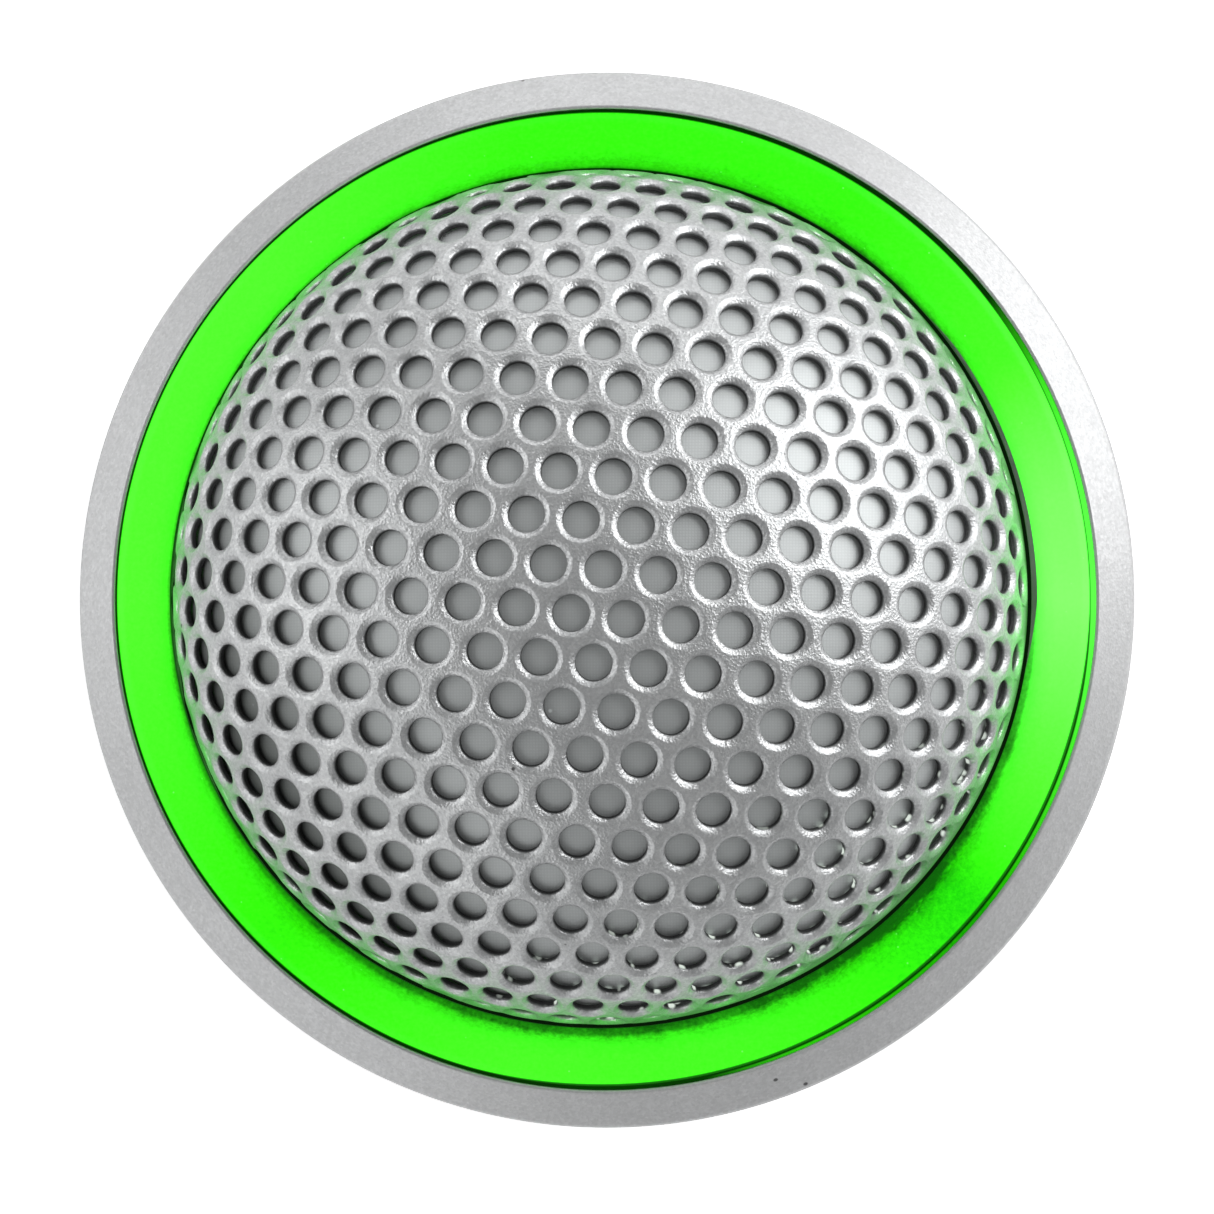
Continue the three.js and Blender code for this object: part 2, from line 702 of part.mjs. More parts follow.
function addRear() {
  const headerZ = [SOCKET.depth + 0.1, BOARD_Z[0] - 0.1];
  const header = block(-5.4, 5.4, PIN_Y - 1, PIN_Y + 1, ...headerZ);
  const [capX, capY] = onCircle(16, 60);
  const partZ = BOARD_Z[1] + 0.1;
  add("rear_cover", rearCover(), blackPlastic);
  add("cover_seal", ring(18.9, 19.9, COVER_T + 0.1, BARREL_REAR_Z - 0.1, BARREL_SIDES), rubber);
  add("crossover_board", crossoverBoard(), boardGreen);
  add("terminal_header", cut(header, ...pinHoles(0.42, 5, 8)), blackPlastic);
  add("capacitor", cylinder(2, partZ, 14.2, capX, capY, 16), zincSteel);
  add("led_resistor", block(-0.8, 0.8, -1.6, 1.6, partZ, partZ + 0.6)
    .translate(15.6, 0, 0).rotateZ(degrees(120)), blackPlastic);
  pinXs.forEach((x, i) => {
    const half = PIN_SIDE / 2;
    add(`terminal_pin_${i + 1}`, block(x - half, x + half, PIN_Y - half, PIN_Y + half, 1.2, 9.6), tin);
  });
  BOSS_ANGLES.forEach((a, i) => {
    const body = screw(1.6, 0.3, 1.15, 0.75, 10.5, ...onCircle(BOSS_RING_R, a));
    add(`cover_screw_${i + 1}`, body, zincSteel);
  });
}

// ---- wires inside the case ------------------------------------------------------------------------

// A round wire through points [radius from the axis, z], in the plane y, on one side of the axis.
function wire(radius, side, y, route, steps) {
  const curve = new THREE.CatmullRomCurve3(route.map(([r, z]) => new THREE.Vector3(side * r, y, z)));
  const section = new THREE.Shape().absarc(0, 0, radius, 0, 2 * Math.PI);
  return new THREE.ExtrudeGeometry(section, { extrudePath: curve, steps, curveSegments: 3 });
}

function addWires() {
  const boardEnd = BOARD_Z[1] + 0.15;
  const coilRoute = [
    [10.75, 20.35], [11.5, 20.5], [12.8, 20.15], [14.6, 19.85], [16.5, 19.75], [17.2, 19],
    [17.3, 17.4], [17.3, boardEnd],
  ];
  const ledRoute = [
    [21.2, 21.72], [20.2, 21.62], [18.8, 21.55], [17.8, 21], [17.35, 19.9], [17.3, 17.4],
    [17.3, boardEnd],
  ];
  [-1, 1].forEach((sign, i) => {
    const insulation = i ? wireBlack : wireRed;
    const letter = "ab"[i];
    add(`coil_lead_${letter}`, wire(0.25, -1, sign * 0.9, coilRoute, 14), copper);
    add(`led_lead_${letter}`, wire(0.35, 1, sign * 0.8, ledRoute, 14), insulation);
  });
}

// ---- assembly -------------------------------------------------------------------------------------

add("grille", grille(), silver);
add("grille_scrim", scrim(), scrimGrey);
add("light_ring", lightRing(), ringGreen);
add("bezel", bezel(), silver);
addLights();
add("housing", housing(), blackPlastic);
add("panel_gasket", panelGasket(), foamBlack);
add("slip_washer", slipWasher(), darkPlastic);
add("clamp_nut", clampNut(), darkPlastic);
addMotor();
addRear();
addWires();

export default tweeter;
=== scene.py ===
"""Looks of a flush-mount car tweeter with a lit ring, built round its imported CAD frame.

+Z is the way the tweeter fires; it stands on its flat rear face at z = 0. Lengths are in millimetres
here, and MM turns them into Blender's metres.
"""
import math

import bmesh
import bpy
import numpy as np
from mathutils import Matrix, Vector


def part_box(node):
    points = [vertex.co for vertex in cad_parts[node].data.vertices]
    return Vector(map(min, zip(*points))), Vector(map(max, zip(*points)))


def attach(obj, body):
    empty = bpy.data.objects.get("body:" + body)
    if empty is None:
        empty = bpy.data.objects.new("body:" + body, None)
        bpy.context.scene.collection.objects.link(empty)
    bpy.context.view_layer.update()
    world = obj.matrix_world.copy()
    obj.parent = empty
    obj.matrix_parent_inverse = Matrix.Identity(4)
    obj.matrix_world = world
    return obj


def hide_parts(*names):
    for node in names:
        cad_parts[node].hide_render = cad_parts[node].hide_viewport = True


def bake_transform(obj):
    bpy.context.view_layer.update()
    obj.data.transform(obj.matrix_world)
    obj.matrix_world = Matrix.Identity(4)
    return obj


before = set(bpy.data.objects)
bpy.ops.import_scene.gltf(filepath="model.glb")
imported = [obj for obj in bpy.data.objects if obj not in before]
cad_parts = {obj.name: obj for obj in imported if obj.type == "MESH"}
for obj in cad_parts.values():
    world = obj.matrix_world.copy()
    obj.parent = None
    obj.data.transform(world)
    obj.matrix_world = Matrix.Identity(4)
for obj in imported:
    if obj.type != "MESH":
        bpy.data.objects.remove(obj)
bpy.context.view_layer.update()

MM = 0.001
scene = bpy.context.scene

# ---- dimensions that pieces share -----------------------------------------------------------------


def extent(node):
    """A CAD node's lowest and highest corners."""
    low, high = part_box(node)
    return [c / MM for c in low], [c / MM for c in high]


def radius_of(node):
    return extent(node)[1][0]


def z_of(node):
    low, high = extent(node)
    return low[2], high[2]


DOME_R = radius_of("grille") - 0.1
EQUATOR_Z = 25.0
DOME_H = z_of("grille")[1] - EQUATOR_Z
SHEET = 0.5
LIP_R = 18.9
LIP_Z = z_of("grille")[0]
RIM_Z = 24.4
HOLE_PITCH = 2.56
ROW_GAP = 2.18
HOLE_D = 1.72
# a hole's rounded edge: how much wider than the hole it is, at each depth into the sheet
EDGE = [
    (0.30, 0.0), (0.28, 0.004), (0.235, 0.022), (0.16, 0.065),
    (0.085, 0.115), (0.04, 0.155), (0.01, 0.19), (0.0, 0.23),
]
EDGE_BACK = 0.05
GRID_TURN = math.radians(-6)
GRID_SHIFT = (-0.64, -1.04)
LINING_GAP = 0.1
LINING = 0.3

FLANGE_R = radius_of("bezel")
BEZEL_GAP = 0.17
RING_IN_R = 20.48
RING_LIP_R = 20.38
RING_OUT_R = 23.0
RING_FOOT_R = 23.85
RING_BORE_R = (21.0, 22.5)
RING_OFFSET = (-0.10, 0.02)
BORE_OFFSET = (-0.15, -0.07)
GRILLE_OFFSET = (-0.25, 0.11)

BARREL_R = 20.3
BORE_R = 18.6
BARREL_REAR_Z, HOUSING_TOP_Z = z_of("housing")
FLANGE_Z = 20.8
FACE_Z = 22.0
HOUSING_R = 24.2
THREAD_PITCH = 3.0
THREAD_DEPTH = 0.7
THREAD_START_Z = 5.0
THREAD_TURNS = 4
THREAD_GAP = 0.3
KEYWAY_W = 3.0
KEY_GAP = 0.45
NUT_Z = z_of("clamp_nut")
NUT_R = 23.3
LUG_R = 24.4
LUG_W = 3.0
LUGS = 12
RIBS = 96
RIB_H = 0.10
WASHER_Z = z_of("slip_washer")
WASHER_R = (21.35, 24.2)
COVER_R = 20.0
COVER_T = 2.0
SCREW_RING_R = 16.6
SCREW_ANGLES = (30, 150, 270)

# ---- camera ---------------------------------------------------------------------------------------

VIEW_DISTANCE = 0.5
VIEW_TILT = math.radians(2.2)
VIEW_SIDE = math.radians(-20)
VIEW_TARGET = (0.04, -0.34, 24)
LENS = 313.0


def make_camera():
    camera = bpy.data.objects.new("camera", bpy.data.cameras.new("camera"))
    scene.collection.objects.link(camera)
    camera.data.lens = LENS
    camera.data.sensor_width = 36
    camera.data.clip_start = 0.01
    away = Vector((
        math.sin(VIEW_TILT) * math.cos(VIEW_SIDE),
        math.sin(VIEW_TILT) * math.sin(VIEW_SIDE),
        math.cos(VIEW_TILT),
    ))
    back = away.normalized()
    right = Vector((0, 1, 0)).cross(back).normalized()
    up = back.cross(right)
    pose = Matrix((right, up, back)).transposed().to_4x4()
    pose.translation = Vector(VIEW_TARGET) * MM + away * VIEW_DISTANCE
    camera.matrix_world = pose
    scene.camera = camera


make_camera()
scene.view_settings.view_transform = "Standard"

# ---- mesh tools: a part is (vertices in millimetres, faces) -----------------------------------------

SAME_POINT = 0.0005
FILLET_SHARE = 0.45


def add_piece(name, verts, faces, material, body, replaced, slot=None, smooth=True):
    """A mesh object in place of CAD nodes. It rides on the body named by a string; given anything else, it
    stays where it is.
    """
    mesh = bpy.data.meshes.new(name)
    points = np.asarray(verts, dtype=float) * MM
    mesh.from_pydata(points.tolist(), [], faces)
    mesh.validate()
    mesh.polygons.foreach_set("use_smooth", [smooth] * len(mesh.polygons))
    obj = bpy.data.objects.new(name, mesh)
    scene.collection.objects.link(obj)
    mesh.materials.append(material)
    if isinstance(body, str):
        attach(obj, body)
    else:
        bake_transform(obj)
    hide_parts(*replaced)
    return obj


def rounded(corners, steps=4, support=0.35):
    """A closed outline of (r, z, fillet), each corner rounded and held by a support point on each side."""
    out = []
    count = len(corners)
    for i, (r, z, fillet) in enumerate(corners):
        here = np.array([r, z], float)
        before = np.array(corners[i - 1][:2], float) - here
        after = np.array(corners[(i + 1) % count][:2], float) - here
        if fillet <= 0:
            out.append(tuple(here))
            continue
        u, v = before / np.linalg.norm(before), after / np.linalg.norm(after)
        half = math.acos(max(-1, min(1, float(u @ v)))) / 2
        reach = min(
            fillet / math.tan(half),
            FILLET_SHARE * np.linalg.norm(before),
            FILLET_SHARE * np.linalg.norm(after),
        )
        arc = reach * math.tan(half)
        centre = here + (u + v) / np.linalg.norm(u + v) * arc / math.sin(half)
        a, b = here + u * reach, here + v * reach
        start = math.atan2(*(a - centre)[::-1])
        turn = math.atan2(*(b - centre)[::-1]) - start
        turn = (turn + math.pi) % (2 * math.pi) - math.pi
        out.append(tuple(a + u * reach * support))
        for k in range(steps + 1):
            t = start + turn * k / steps
            out.append((centre[0] + arc * math.cos(t), centre[1] + arc * math.sin(t)))
        out.append(tuple(b + v * reach * support))
    return out


def signed_area(outline):
    """Positive for an outline that runs anticlockwise."""
    pts = np.asarray(outline)
    nxt = np.roll(pts, -1, axis=0)
    return float(np.sum(pts[:, 0] * nxt[:, 1] - nxt[:, 0] * pts[:, 1])) / 2


def even_angles(count):
    return np.arange(count) / count * 2 * np.pi


def loop_pairs(count):
    """Each index of a closed ring with the next one."""
    return [(k, (k + 1) % count) for k in range(count)]


def turned(points, angles, radius_at=None, closed=True):
    """Points (r, z) turned about Z, closed if the last joins the first; radius_at(r, z) may vary r round."""
    verts = []
    for r, z in points:
        radii = np.full(len(angles), float(r)) if radius_at is None else radius_at(r, z)
        verts.append(np.stack([radii * np.cos(angles), radii * np.sin(angles), np.full(len(angles), z)], 1))
    faces = []
    rows = loop_pairs(len(points))
    for i, n in rows if closed else rows[:-1]:
        here, above = i * len(angles), n * len(angles)
        faces.extend((here + j, here + m, above + m, above + j) for j, m in loop_pairs(len(angles)))
    return np.concatenate(verts), faces


def lathe(outline, sides):
    """A closed outline of (r, z) turned about Z."""
    points = list(outline)
    if signed_area(points) < 0:
        points.reverse()
    return turned(points, even_angles(sides))


def capped_lathe(outline, sides):
    """An outline that starts and ends on the axis, turned about Z, with a fan at each end."""
    verts, faces = turned([p for p in outline if p[0] > 0], even_angles(sides), closed=False)
    first, last, base = len(verts), len(verts) + 1, len(verts) - sides
    low, high = outline[0][1], outline[-1][1]
    for j, m in loop_pairs(sides):
        faces.append((first, m, j))
        faces.append((last, base + j, base + m))
    if low > high:
        faces = [tuple(reversed(f)) for f in faces]
    return np.concatenate([verts, [[0, 0, low], [0, 0, high]]]), faces


def box_mesh(low, high):
    bm = bmesh.new()
    bmesh.ops.create_cube(bm, size=1)
    size = Vector(high) - Vector(low)
    verts = [Vector(low) + Vector((c + 0.5) * s for c, s in zip(v.co, size)) for v in bm.verts]
    faces = [tuple(v.index for v in f.verts) for f in bm.faces]
    bm.free()
    return np.array(verts), faces


def merged(*parts):
    """Several parts as one."""
    verts, faces, base = [], [], 0
    for v, f in parts:
        verts.append(np.asarray(v, float))
        faces.extend(tuple(i + base for i in face) for face in f)
        base += len(v)
    return np.concatenate(verts), faces


def moved(part, x, y, turn=0.0):
    """A part turned about its own axis, then shifted."""
    verts, faces = part
    c, s = math.cos(turn), math.sin(turn)
    spin = np.array([[c, s, 0], [-s, c, 0], [0, 0, 1]])
    return np.asarray(verts) @ spin + np.array([x, y, 0]), faces


def combined(parts, operation):
    """The first part with the others taken from it or joined to it, without doubled points or empty faces."""
    objects = []
    for k, (verts, faces) in enumerate(parts):
        mesh = bpy.data.meshes.new(f"solid_{k}")
        mesh.from_pydata(np.asarray(verts).tolist(), [], faces)
        obj = bpy.data.objects.new(f"solid_{k}", mesh)
        scene.collection.objects.link(obj)
        objects.append(obj)
    base = objects[0]
    for tool in objects[1:]:
        step = base.modifiers.new("boolean", "BOOLEAN")
        step.operation = operation
        step.solver = "MANIFOLD"
        step.object = tool
    bm = bmesh.new()
    bm.from_object(base, bpy.context.evaluated_depsgraph_get())
    bmesh.ops.remove_doubles(bm, verts=bm.verts[:], dist=SAME_POINT)
    bmesh.ops.dissolve_degenerate(bm, edges=bm.edges[:], dist=SAME_POINT)
    bm.verts.index_update()
    verts = np.array([tuple(v.co) for v in bm.verts])
    faces = [tuple(v.index for v in f.verts) for f in bm.faces]
    bm.free()
    for obj in objects:
        bpy.data.meshes.remove(obj.data)
    return verts, faces


def soften(obj, width, angle=35, weighted=True):
    """A small bevel on the edges sharper than angle, with weighted normals so that flat faces stay flat."""
    bevel = obj.modifiers.new("bevel", "BEVEL")
    bevel.width = width * MM
    bevel.segments = 2
    bevel.limit_method = "ANGLE"
    bevel.angle_limit = math.radians(angle)
    if weighted:
        normals = obj.modifiers.new("weighted", "WEIGHTED_NORMAL")
        normals.keep_sharp = True


# ---- materials ------------------------------------------------------------------------------------


class Nodes:
    """Shorthand for one material's node tree."""

    def __init__(self, name):
        self.material = bpy.data.materials.new(name)
        self.material.use_nodes = True
        self.tree = self.material.node_tree
        self.shader = self.tree.nodes["Principled BSDF"]
        self.position = self.add("ShaderNodeTexCoord").outputs["Object"]
        split = self.add("ShaderNodeSeparateXYZ")
        self.link(self.position, split.inputs["Vector"])
        self.x, self.y, self.z = split.outputs

    def add(self, kind, **values):
        """A node with the given properties and input values."""
        node = self.tree.nodes.new(kind)
        for key, value in values.items():
            if hasattr(node, key):
                setattr(node, key, value)
            else:
                node.inputs[key.replace("_", " ")].default_value = value
        return node

    def link(self, source, target):
        self.tree.links.new(source, target)

    def noise(self, size_mm, detail, rough=0.5, distortion=0.0):
        node = self.add("ShaderNodeTexNoise", Scale=1 / (size_mm * MM), Detail=detail, Roughness=rough)
        node.inputs["Distortion"].default_value = distortion
        self.link(self.position, node.inputs["Vector"])
        return node.outputs["Fac"]

    def cells(self, size_mm, feature="F1"):
        """The Distance and Color of Voronoi cells."""
        node = self.add("ShaderNodeTexVoronoi", Scale=1 / (size_mm * MM), feature=feature)
        self.link(self.position, node.inputs["Vector"])
        return node.outputs

    def spots(self, size_mm, solid, faded, strength=1.0):
        """One round spot to a cell; its radii are shares of the cell size."""
        return self.spread(self.cells(size_mm)["Distance"], strength, 0, solid, faded)

    def woven(self, thread_mm):
        """Crossing waves along X and Y, from -1 to 1."""
        scale = math.pi / (thread_mm * MM)
        warp, weft = (self.math("SINE", self.times(axis, scale)) for axis in (self.x, self.y))
        return self.times(warp, weft)

    def ramp(self, value, stops):
        """Stops are (position, colour or grey)."""
        node = self.add("ShaderNodeValToRGB")
        elements = node.color_ramp.elements
        while len(elements) < len(stops):
            elements.new(0.5)
        for element, (at, color) in zip(elements, stops):
            element.position = at
            element.color = (*color, 1) if isinstance(color, tuple) else (color, color, color, 1)
        self.link(value, node.inputs["Fac"])
        return node.outputs["Color"]

    def spread(self, value, low, high, from_low=0.0, from_high=1.0):
        """The value carried from one range to another, and held at its ends."""
        node = self.add("ShaderNodeMapRange", From_Min=from_low, From_Max=from_high, To_Min=low, To_Max=high)
        self.link(value, node.inputs["Value"])
        return node.outputs["Result"]

    def math(self, operation, a, b=None):
        node = self.add("ShaderNodeMath", operation=operation)
        for socket, value in zip(node.inputs, (a, b)):
            if isinstance(value, (int, float)):
                socket.default_value = value
            elif value is not None:
                self.link(value, socket)
        return node.outputs["Value"]

    def plus(self, a, b):
        return self.math("ADD", a, b)

    def minus(self, a, b):
        return self.math("SUBTRACT", a, b)

    def times(self, a, b):
        return self.math("MULTIPLY", a, b)

    def total(self, *shares):
        """The sum of (value, weight) pairs."""
        out, *rest = (self.times(value, weight) for value, weight in shares)
        for part in rest:
            out = self.plus(out, part)
        return out

    def hypot(self, a, b):
        return self.math("SQRT", self.plus(self.times(a, a), self.times(b, b)))

    def along(self, dx, dy):
        """How far a point lies towards (dx, dy) from the axis."""
        return self.total((self.x, dx), (self.y, dy))

    def radius(self, centre=(0.0, 0.0)):
        return self.hypot(self.minus(self.x, centre[0] * MM), self.minus(self.y, centre[1] * MM))

    def mix(self, factor, a, b):
        node = self.add("ShaderNodeMix", data_type="RGBA")
        self.link(factor, node.inputs["Factor"])
        for socket, value in ((node.inputs[6], a), (node.inputs[7], b)):
            if isinstance(value, tuple):
                socket.default_value = (*value, 1)
            else:
                self.link(value, socket)
        return node.outputs[2]

    def bump(self, *heights):
        """Heights are (value, depth in millimetres); later ones ride on earlier ones."""
        normal = None
        for value, depth in heights:
            node = self.add("ShaderNodeBump", Strength=1, Distance=depth * MM)
            self.link(value, node.inputs["Height"])
            if normal is not None:
                self.link(normal, node.inputs["Normal"])
            normal = node.outputs["Normal"]
        self.link(normal, self.shader.inputs["Normal"])

    def set(self, **values):
        """Shader inputs, as numbers, colours or node outputs."""
        for key, value in values.items():
            socket = self.shader.inputs[key.replace("_", " ")]
            if isinstance(value, (int, float)):
                socket.default_value = value
            elif isinstance(value, tuple):
                socket.default_value = (*value, 1)
            else:
                self.link(value, socket)


def scaled(color, factor):
    return tuple(min(1, c * factor) for c in color)


def silver_paint():
    """Satin silver lacquer: metal flake, fine speckle, a soft orange peel and a few dust nibs."""
    n = Nodes("silver_paint")
    flake = n.cells(0.13)
    grain = n.noise(0.2, 2, 0.6)
    tone = n.total((flake["Color"], 0.35), (grain, 0.45), (n.noise(1.6, 3), 0.2))
    lacquer = n.ramp(tone, [
        (0.25, (0.49, 0.495, 0.50)), (0.5, (0.55, 0.555, 0.56)), (0.75, (0.63, 0.635, 0.64)),
    ])
    n.set(
        Base_Color=n.mix(n.spots(4.6, 0.018, 0.03), lacquer, (0.12, 0.12, 0.12)),
        Metallic=0.6,
        Specular_Tint=(0.5, 0.5, 0.5),
        Roughness=n.spread(tone, 0.54, 0.40, 0.25, 0.75),
        Coat_Weight=0.06,
        Coat_Roughness=0.3,
    )
    n.bump((n.noise(0.9, 2), 0.006), (grain, 0.010), (flake["Distance"], 0.006))
    return n.material


def grille_silver():
    """The same lacquer, thinner on the perforated sheet; painted shade in its holes, painted green ring glow
    and glints.
    """
    n = Nodes("grille_silver")
    flake = n.cells(0.12)
    grain = n.noise(0.17, 3, 0.65)
    tone = n.total((flake["Color"], 0.25), (grain, 0.45), (n.noise(3.5, 3), 0.3))
    lacquer = n.ramp(tone, [
        (0.25, (0.40, 0.41, 0.415)), (0.5, (0.53, 0.54, 0.545)), (0.75, (0.70, 0.71, 0.71)),
    ])
    nibs = n.spots(3.9, 0.018, 0.03)

    # painted shade on the holes' walls, by depth under the dome's outer face, from none at 0.20 mm to full at
    # 0.34 mm
    painted, shade_full_depth = 0.20, 0.34
    level = n.math("DIVIDE", n.minus(n.z, EQUATOR_Z * MM), DOME_H * MM)
    out = n.math("DIVIDE", n.radius(GRILLE_OFFSET), DOME_R * MM)
    wall_shade = n.spread(n.hypot(level, out), 1.0, 0.0, 1 - shade_full_depth / DOME_R, 1 - painted / DOME_R)

    # a painted green glow from the ring on the lowest rows, and painted glints in the holes' walls at the lower
    # right
    lit_height = 2.8
    spill = n.spread(n.z, 1.0, 0.0, EQUATOR_Z * MM, (EQUATOR_Z + lit_height) * MM)
    spill = n.times(n.times(spill, spill), n.spread(wall_shade, 0.42, 0.10))
    glint_area = n.times(wall_shade, n.spread(n.along(0.5, -0.86), 0.0, 1.0, 12 * MM, 15.5 * MM))
    glint = n.times(glint_area, n.spots(0.7, 0.20, 0.34))
    green = n.mix(spill, (0.0, 0.0, 0.0), (0.12, 0.60, 0.10))
    n.set(
        # dark dust nibs, and the painted shade on the holes' walls
        Base_Color=n.mix(n.math("MAXIMUM", nibs, wall_shade), lacquer, (0.10, 0.10, 0.10)),
        # painted glints over the painted green glow
        Emission_Color=n.mix(glint, green, (0.72, 0.80, 0.72)),
        Emission_Strength=1.0,
        Metallic=0.72,
        Specular_Tint=(0.4, 0.4, 0.4),
        Roughness=n.spread(tone, 0.46, 0.28, 0.25, 0.75),
        Coat_Weight=0.1,
        Coat_Roughness=0.15,
    )
    n.bump((n.noise(1.1, 2), 0.008), (grain, 0.034), (flake["Distance"], 0.018))
    return n.material


def ring_glow():
    """Frosted green light guide with uneven lamps behind it, and a grey sleeve round its bore."""
    n = Nodes("ring_green")
    from_bore, from_rim = n.radius(BORE_OFFSET), n.radius(RING_OFFSET)
    cloud, fine = n.noise(1.6, 4, 0.65), n.noise(0.2, 3, 0.7)
    turn = n.plus(n.math("DIVIDE", n.math("ARCTAN2", n.y, n.x), 2 * math.pi), 0.5)

    # the face's colour, by how bright the lamps are round the turn
    lamps = n.ramp(turn, [
        (0.0, 0.34), (0.125, 0.10), (0.22, 0.26), (0.30, 0.22), (0.39, 0.02), (0.455, 0.5), (0.50, 1.0),
        (0.535, 0.85), (0.585, 0.25), (0.66, 0.12), (0.78, 0.13), (0.88, 0.32), (1.0, 0.34),
    ])
    lamps = n.plus(lamps, n.times(n.minus(fine, 0.5), 0.22))
    face = n.ramp(lamps, [
        (0.0, (0.008, 0.64, 0.0)), (0.12, (0.034, 0.98, 0.001)), (0.35, (0.092, 1.5, 0.027)),
        (1.0, (0.25, 2.6, 0.155)),
    ])
    face = n.mix(n.spots(0.9, 0.03, 0.06, 0.35), face, (0.4, 2.0, 0.3))

    # darker and mottled towards the bore, most where the ring is dim: a painted shade beside the grille
    dim = n.ramp(turn, [
        (0.1, 0.1), (0.2, 0.45), (0.3, 0.6), (0.375, 1.0), (0.45, 0.3),
        (0.52, 0.0), (0.62, 0.25), (0.75, 0.2), (0.9, 0.05),
    ])
    mottle = n.total((n.minus(cloud, 0.5), 0.42), (n.minus(fine, 0.5), 0.16))
    mottle = n.times(mottle, n.spread(dim, 0.25, 1.0))
    across = n.plus(n.spread(from_bore, 0, 1, RING_IN_R * MM, RING_OUT_R * MM), mottle)
    across = n.plus(across, n.spread(dim, 0.11, -0.03))
    inner = n.ramp(across, [(0.0, 0.09), (0.06, 0.30), (0.14, 0.62), (0.3, 0.88), (0.5, 1.0)])

    # the sleeve shows on one side only
    bared = n.ramp(turn, [(0.44, 0.0), (0.5, 1.0), (0.6, 1.0), (0.68, 0.0)])
    sleeve_r = n.spread(bared, (RING_IN_R - 0.6) * MM, (RING_IN_R + 0.08) * MM)
    sleeve = n.spread(n.minus(from_bore, sleeve_r), 1.0, 0.0, -0.02 * MM, 0.01 * MM)

    # a painted shadow darkens the outer wall, wider at the lower right; a painted green glow lights the foot at
    # the right
    shadow_widening = n.spread(n.along(0.6, -0.8), 0.0, 0.07 * MM, 14 * MM, 18 * MM)
    wall = n.spread(n.plus(from_rim, shadow_widening), 1.0, 0.06, (RING_OUT_R - 0.08) * MM, (RING_OUT_R - 0.01) * MM)
    flank = n.spread(n.z, 0.0, 1.0, 25.05 * MM, 25.3 * MM)
    right = n.spread(n.along(0.94, -0.34), 0.0, 0.5, 12 * MM, 16 * MM)
    foot = n.times(right, n.spread(n.z, 1.0, 0.0, 24.7 * MM, 24.8 * MM))
    past_wall = n.spread(n.minus(from_rim, shadow_widening), 0.0, 1.0, RING_OUT_R * MM, (RING_OUT_R + 0.05) * MM)
    foot = n.math("MAXIMUM", n.times(foot, past_wall), 0.02)
    lit = n.math("MAXIMUM", n.times(flank, wall), foot)

    green = n.mix(cloud, (0.004, 0.12, 0.002), (0.006, 0.18, 0.003))
    n.set(
        Base_Color=n.mix(sleeve, green, (0.20, 0.195, 0.20)),
        Metallic=n.times(sleeve, 0.7),
        Roughness=n.spread(fine, 0.34, 0.5),
        Specular_IOR_Level=0.12,
        Emission_Color=n.mix(n.math("MAXIMUM", inner, sleeve), (0.0, 0.0, 0.0), face),
        Emission_Strength=n.times(n.minus(1.0, sleeve), lit),
    )
    n.bump((n.noise(0.8, 2), 0.006), (fine, 0.004))
    return n.material


def weave(name, dark, light, thread_mm, depth, rough, sheen, through=0.0, lustre=0.0, shaded_lower_left=False):
    """Fine plain-woven cloth. through is a painted glow, for light that soaks through it; the lower left can
    take a painted shade, where no light reaches it."""
    n = Nodes(name)
    over = n.math("ABSOLUTE", n.woven(thread_mm))
    fibre = n.noise(thread_mm * 0.6, 3)
    tone = n.total((over, 0.35), (fibre, 0.35), (n.noise(4, 2), 0.3))
    cloth = n.ramp(tone, [(0.15, dark), (0.85, light)])
    cloth = n.mix(n.spots(2.6, 0.02, 0.045), cloth, scaled(light, 1.6))
    if shaded_lower_left:
        # a painted shade at the lower left, which also fades the painted glow there
        lower_left_shade = n.spread(n.along(-0.85, -0.5), 0.0, 0.86, 9.5 * MM, 17.5 * MM)
        cloth = n.mix(lower_left_shade, cloth, (0.012, 0.02, 0.012))
        through = n.spread(lower_left_shade, through, 0.0, 0.0, 0.6)
    n.set(
        Base_Color=cloth,
        Metallic=lustre,
        Roughness=n.spread(fibre, rough - 0.08, rough + 0.05),
        Sheen_Weight=sheen,
        Sheen_Roughness=0.5,
        # a painted glow, for light that soaks through the cloth
        Emission_Color=light,
        Emission_Strength=through,
    )
    n.bump((over, depth), (fibre, depth * 0.6))
    return n.material


def moulded(name, dark, light, rough=0.5, grain_mm=0.22, depth=0.010):
    """Injection-moulded plastic: spark-eroded grain, faint flow clouds and rubbed high spots."""
    n = Nodes(name)
    grain = n.noise(grain_mm, 3, 0.6)
    rub = n.noise(1.4, 5, 0.65)
    tone = n.total((n.noise(6, 4, 0.55, 0.6), 0.55), (rub, 0.45))
    n.set(
        Base_Color=n.ramp(tone, [(0.3, dark), (0.55, light), (0.8, scaled(light, 1.5))]),
        Roughness=n.spread(n.total((grain, 0.5), (rub, 0.5)), rough + 0.1, rough - 0.1, 0.3, 0.7),
        Specular_IOR_Level=0.45,
    )
    n.bump((n.cells(grain_mm * 1.6)["Distance"], depth * 0.6), (grain, depth))
    return n.material


def foam(name, dark, light, cell_mm=0.35, depth=0.06):
    """Open cells with dark pores, a painted shade in each cell's hollow, or the same at the scale of felt."""
    n = Nodes(name)
    cell = n.cells(cell_mm)["Distance"]
    cloud = n.noise(2, 3)
    pore_shade = n.ramp(cell, [(0.15, dark), (0.75, light)])
    n.set(
        Base_Color=n.mix(cloud, pore_shade, scaled(light, 0.8)),
        Roughness=n.spread(cloud, 0.85, 0.98),
        Sheen_Weight=0.15,
    )
    n.bump((cell, depth), (n.noise(0.1, 2), depth * 0.2))
    return n.material


